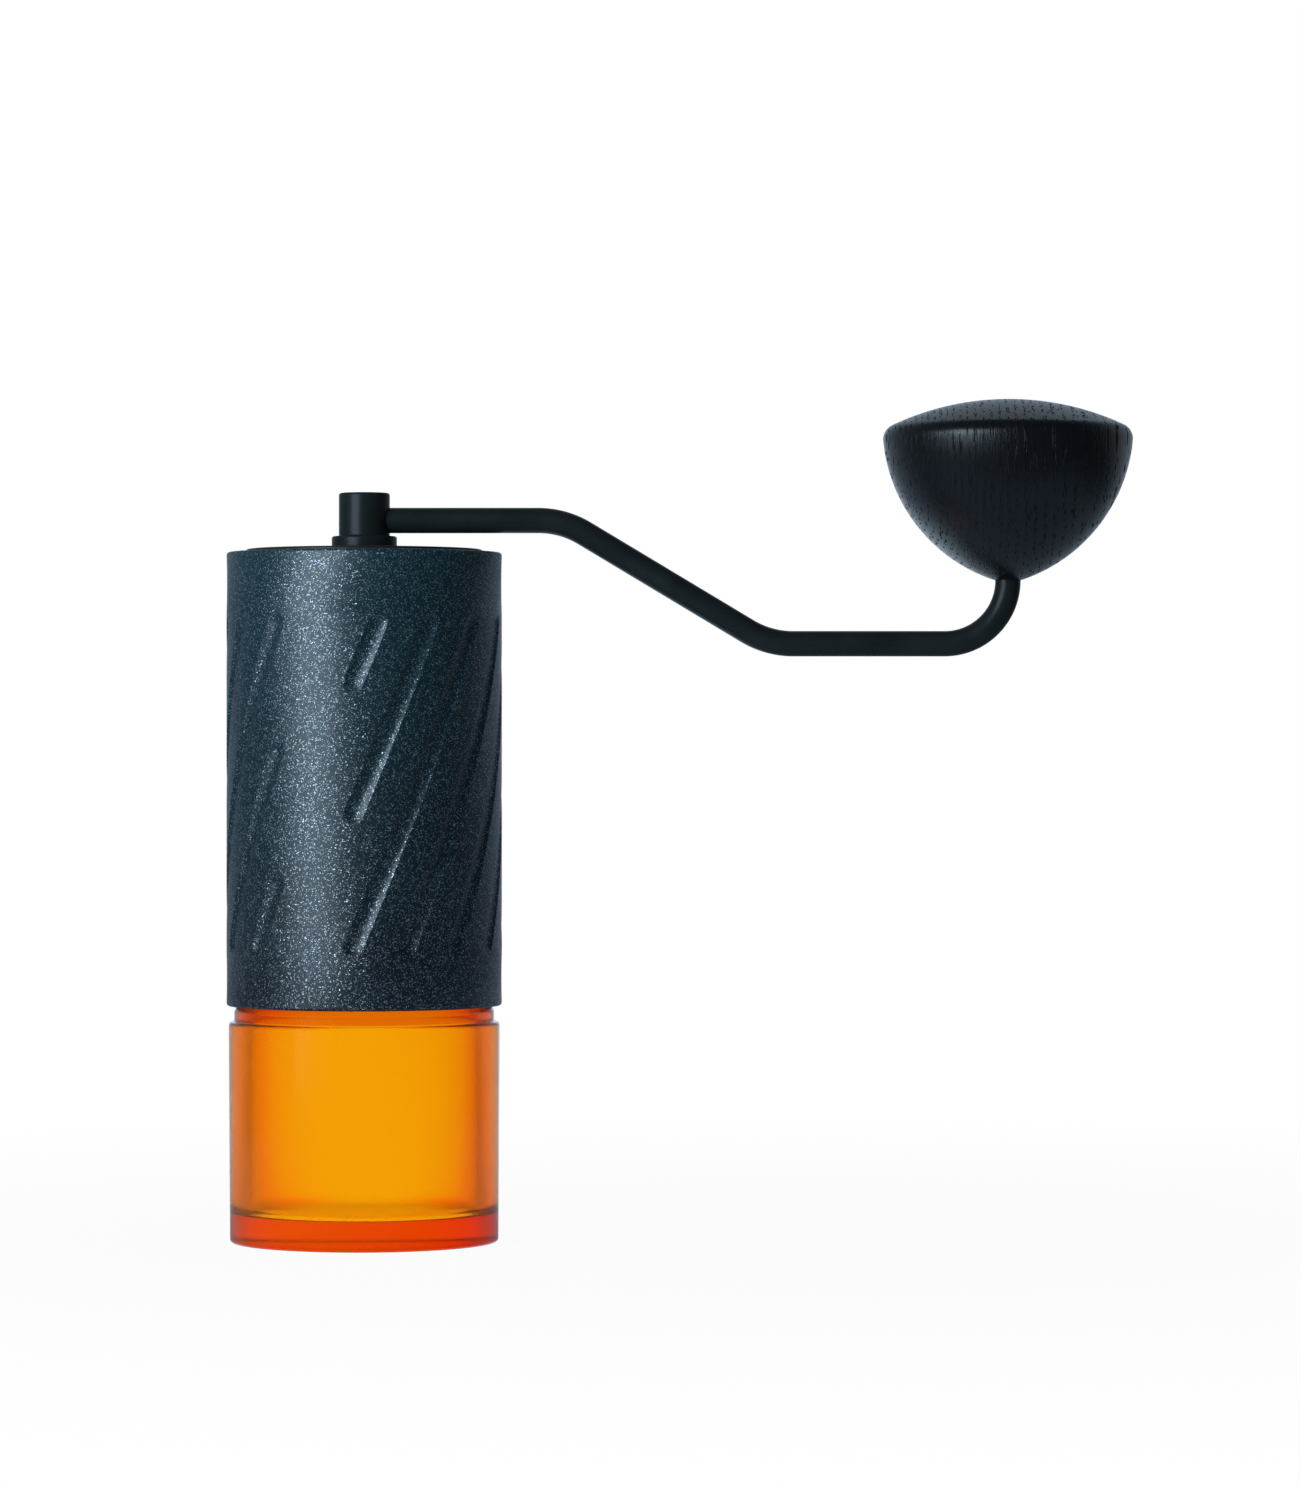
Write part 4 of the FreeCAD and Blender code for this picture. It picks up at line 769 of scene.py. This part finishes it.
def knob_profile():
    """Profile of the knob: the bowl's arc, the rim's arc, which touches bowl and dome, and the dome's arc,
    then the bore and the thin lip under its bush. The rim's centre is its own radius inside both others."""
    dome_height = KNOB_TOP - KNOB_RIM
    dome = (KNOB_RADIUS ** 2 + dome_height ** 2) / 2 / dome_height
    dome_centre = np.array([0.0, KNOB_TOP - dome])
    foot = np.array([KNOB_BORE, KNOB_BOTTOM - KNOB_LIP_THICKNESS])
    rim = np.array([KNOB_RADIUS, KNOB_RIM])
    chord = rim - foot
    left = np.array([-chord[1], chord[0]]) / np.linalg.norm(chord)
    bowl_centre = (foot + rim) / 2 + left * math.sqrt(KNOB_BOWL ** 2 - chord @ chord / 4)
    bowl_reach = KNOB_BOWL - KNOB_FILLET
    dome_reach = dome - KNOB_FILLET
    apart = np.linalg.norm(dome_centre - bowl_centre)
    unit = (dome_centre - bowl_centre) / apart
    along = (apart ** 2 + bowl_reach ** 2 - dome_reach ** 2) / (2 * apart)
    aside = math.sqrt(bowl_reach ** 2 - along ** 2) * np.array([-unit[1], unit[0]])
    crossings = [bowl_centre + unit * along + aside, bowl_centre + unit * along - aside]
    rim_centre = max(crossings, key=lambda point: point[0])
    bowl_start = -math.degrees(math.acos((KNOB_LIP - bowl_centre[0]) / KNOB_BOWL))
    bowl_end = heading_of(rim_centre - bowl_centre)
    dome_start = heading_of(rim_centre - dome_centre)
    return np.concatenate([
        arc(bowl_centre, KNOB_BOWL, bowl_start, bowl_end, BOWL_STEPS),
        arc(rim_centre, KNOB_FILLET, bowl_end, dome_start, RIM_STEPS)[1:],
        arc(dome_centre, dome, dome_start, 90, DOME_STEPS)[1:],
        [[0, KNOB_BORE_TOP], [KNOB_BORE, KNOB_BORE_TOP], [KNOB_BORE, KNOB_BOTTOM], [KNOB_LIP, KNOB_BOTTOM]]])


def turned_knob():
    """The knob spun from its profile of arcs about the pin's axis."""
    angle, radius, height = turned_grid(knob_profile(), KNOB_SIDES)
    points = about_axis(angle, radius, height, CRANK_RADIUS)
    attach(make_piece("turned_knob", points, "knob", closed=True), "knob")


barrel_skin()
jar_cup()
lid_plug()
hub_boss()
bent_arm()
turned_knob()
coil_spring()


# Studio


def wall_light(tree, depth):
    """Strength and colour of the pale wall behind; depth, from -1 to 1, is how far a direction points to it.
    The camera sees plain white. Gloss sees it dim from the sides and brightest straight behind.
    Clear material sees it bright behind and in front, and dimmer and warm from the sides."""
    cool_gloss = (0.67, 0.84, 1.0, 1)
    warm_side = (1.0, 0.42, 0.20, 1)
    rays = add(tree, "ShaderNodeLightPath").outputs
    gloss = remap(tree, depth, (0.25, 0.95), (0.04, 0.54))
    gloss = maths(tree, "ADD", gloss, remap(tree, depth, (0.94, 1.0), (0.0, 0.80)))
    facing = maths(tree, "ABSOLUTE", depth)
    clear = remap(tree, facing, (0.62, 0.85), (0.56, 1.0))
    clear_tint = blend_colour(tree, remap(tree, facing, (0.88, 0.995), (0.0, 1.0)), warm_side, WHITE)
    strength = blend_value(tree, rays["Is Transmission Ray"], gloss, clear)
    strength = blend_value(tree, rays["Is Camera Ray"], strength, 1.0)
    tint = blend_colour(tree, rays["Is Transmission Ray"], cool_gloss, clear_tint)
    tint = blend_colour(tree, rays["Is Camera Ray"], tint, WHITE)
    return strength, tint, rays


def floor_finish():
    """A pale matt floor. The camera sees it as nearly white near the object, where it keeps a shadow, and as
    white further out. Gloss and clear material see the wall's light on it by direction from the origin, even
    under the jar, and never less than a soft glow round the object."""
    material, tree, shader = new_finish("floor")
    feed(tree, shader, {"Base Color": (0.95, 0.95, 0.95, 1), "Roughness": 0.9, "Specular IOR Level": 0.0})
    where = place(tree)
    away = vector(tree, "DISTANCE", {0: where, 1: FLOOR_MIDDLE})["Value"]
    white = remap(tree, away, SHADOW_SPAN, (0.95, 1.0))
    direction = vector(tree, "NORMALIZE", {0: where})["Vector"]
    from_axis = vector(tree, "LENGTH", {0: where})["Value"]
    under_jar = remap(tree, from_axis, EVEN_LIGHT_SPAN, (0.97, -1.0))
    depth = maths(tree, "MAXIMUM", axes(tree, direction)["Y"], under_jar)
    strength, tint, rays = wall_light(tree, depth)
    glow = remap(tree, axes(tree, where)["Y"], GLOW_FRONT_SPAN, (0.0, NEAR_GLOW))
    glow = maths(tree, "MINIMUM", glow, remap(tree, away, GLOW_SPAN, (NEAR_GLOW, 0.0)))
    strength = maths(tree, "MAXIMUM", strength, glow)
    seen = maths(tree, "MULTIPLY", rays["Is Camera Ray"], white)
    seen = maths(tree, "MAXIMUM", seen, rays["Is Glossy Ray"])
    light = add(tree, "ShaderNodeEmission", {"Color": tint, "Strength": strength})
    mixed = add(tree, "ShaderNodeMixShader", {0: seen, 1: shader.outputs[0], 2: light.outputs[0]})
    feed(tree, tree.nodes["Material Output"], {"Surface": mixed.outputs[0]})
    return material


def floor():
    """A wide flat disc just under the jar's foot."""
    angle = TURN * np.arange(FLOOR_SIDES) / FLOOR_SIDES
    rim = about_axis(angle, FLOOR_RADIUS, np.full(FLOOR_SIDES, FLOOR_HEIGHT))
    mesh = bpy.data.meshes.new("floor")
    mesh.from_pydata(rim.tolist(), [], [list(range(FLOOR_SIDES))])
    mesh.materials.append(floor_finish())
    piece = bpy.data.objects.new("floor", mesh)
    bpy.context.scene.collection.objects.link(piece)


def studio_world():
    """A dim cool surround for matt surfaces; the camera, gloss and clear material see the wall's light."""
    dim_strength = 0.20
    dim_tint = (0.78, 0.88, 1.0, 1)
    world = bpy.data.worlds.new("studio")
    world.use_nodes = True
    tree = world.node_tree
    tree.nodes.clear()
    direction = add(tree, "ShaderNodeTexCoord").outputs["Generated"]
    strength, tint, rays = wall_light(tree, axes(tree, direction)["Y"])
    seen = maths(tree, "MAXIMUM", rays["Is Camera Ray"], rays["Is Glossy Ray"])
    light = add(tree, "ShaderNodeBackground", {
        "Color": blend_colour(tree, seen, dim_tint, tint),
        "Strength": blend_value(tree, seen, dim_strength, strength)})
    add(tree, "ShaderNodeOutputWorld", {"Surface": light.outputs[0]})
    bpy.context.scene.world = world


def lamp(name, stands_at, looks_at, size, power, colour=(1, 1, 1)):
    """A soft rectangular lamp that faces a point."""
    light = bpy.data.lights.new(name, "AREA")
    light.shape = "RECTANGLE"
    light.size, light.size_y = size
    light.energy = power
    light.color = colour
    holder = bpy.data.objects.new(name, light)
    holder.location = stands_at
    toward = Vector(looks_at) - Vector(stands_at)
    holder.rotation_euler = toward.to_track_quat("-Z", "Y").to_euler()
    bpy.context.scene.collection.objects.link(holder)


def camera():
    """A level camera a little above the middle of the object, looking along +Y."""
    data = bpy.data.cameras.new("camera")
    data.sensor_width = CAMERA_SENSOR
    data.lens = CAMERA_LENS
    data.clip_end = CAMERA_REACH
    eye = bpy.data.objects.new("camera", data)
    eye.location = CAMERA_PLACE
    eye.rotation_euler = (math.pi / 2, 0, 0)
    bpy.context.scene.collection.objects.link(eye)
    bpy.context.scene.camera = eye


floor()
studio_world()
lamp("key", stands_at=(-0.655, -0.79, 0.25), looks_at=(0.0, 0.0, 0.10), size=(0.64, 0.8), power=13.8,
     colour=(0.91, 0.96, 1.0))
lamp("back", stands_at=(0.06, 1.2, 1.35), looks_at=(0.06, 0.0, 0.12), size=(1.6, 0.9), power=0.5)
lamp("fill", stands_at=(0.95, 0.35, 0.3), looks_at=(0.0, 0.0, 0.10), size=(0.8, 0.8), power=0.25)
camera()
bpy.context.scene.view_settings.view_transform = "Standard"
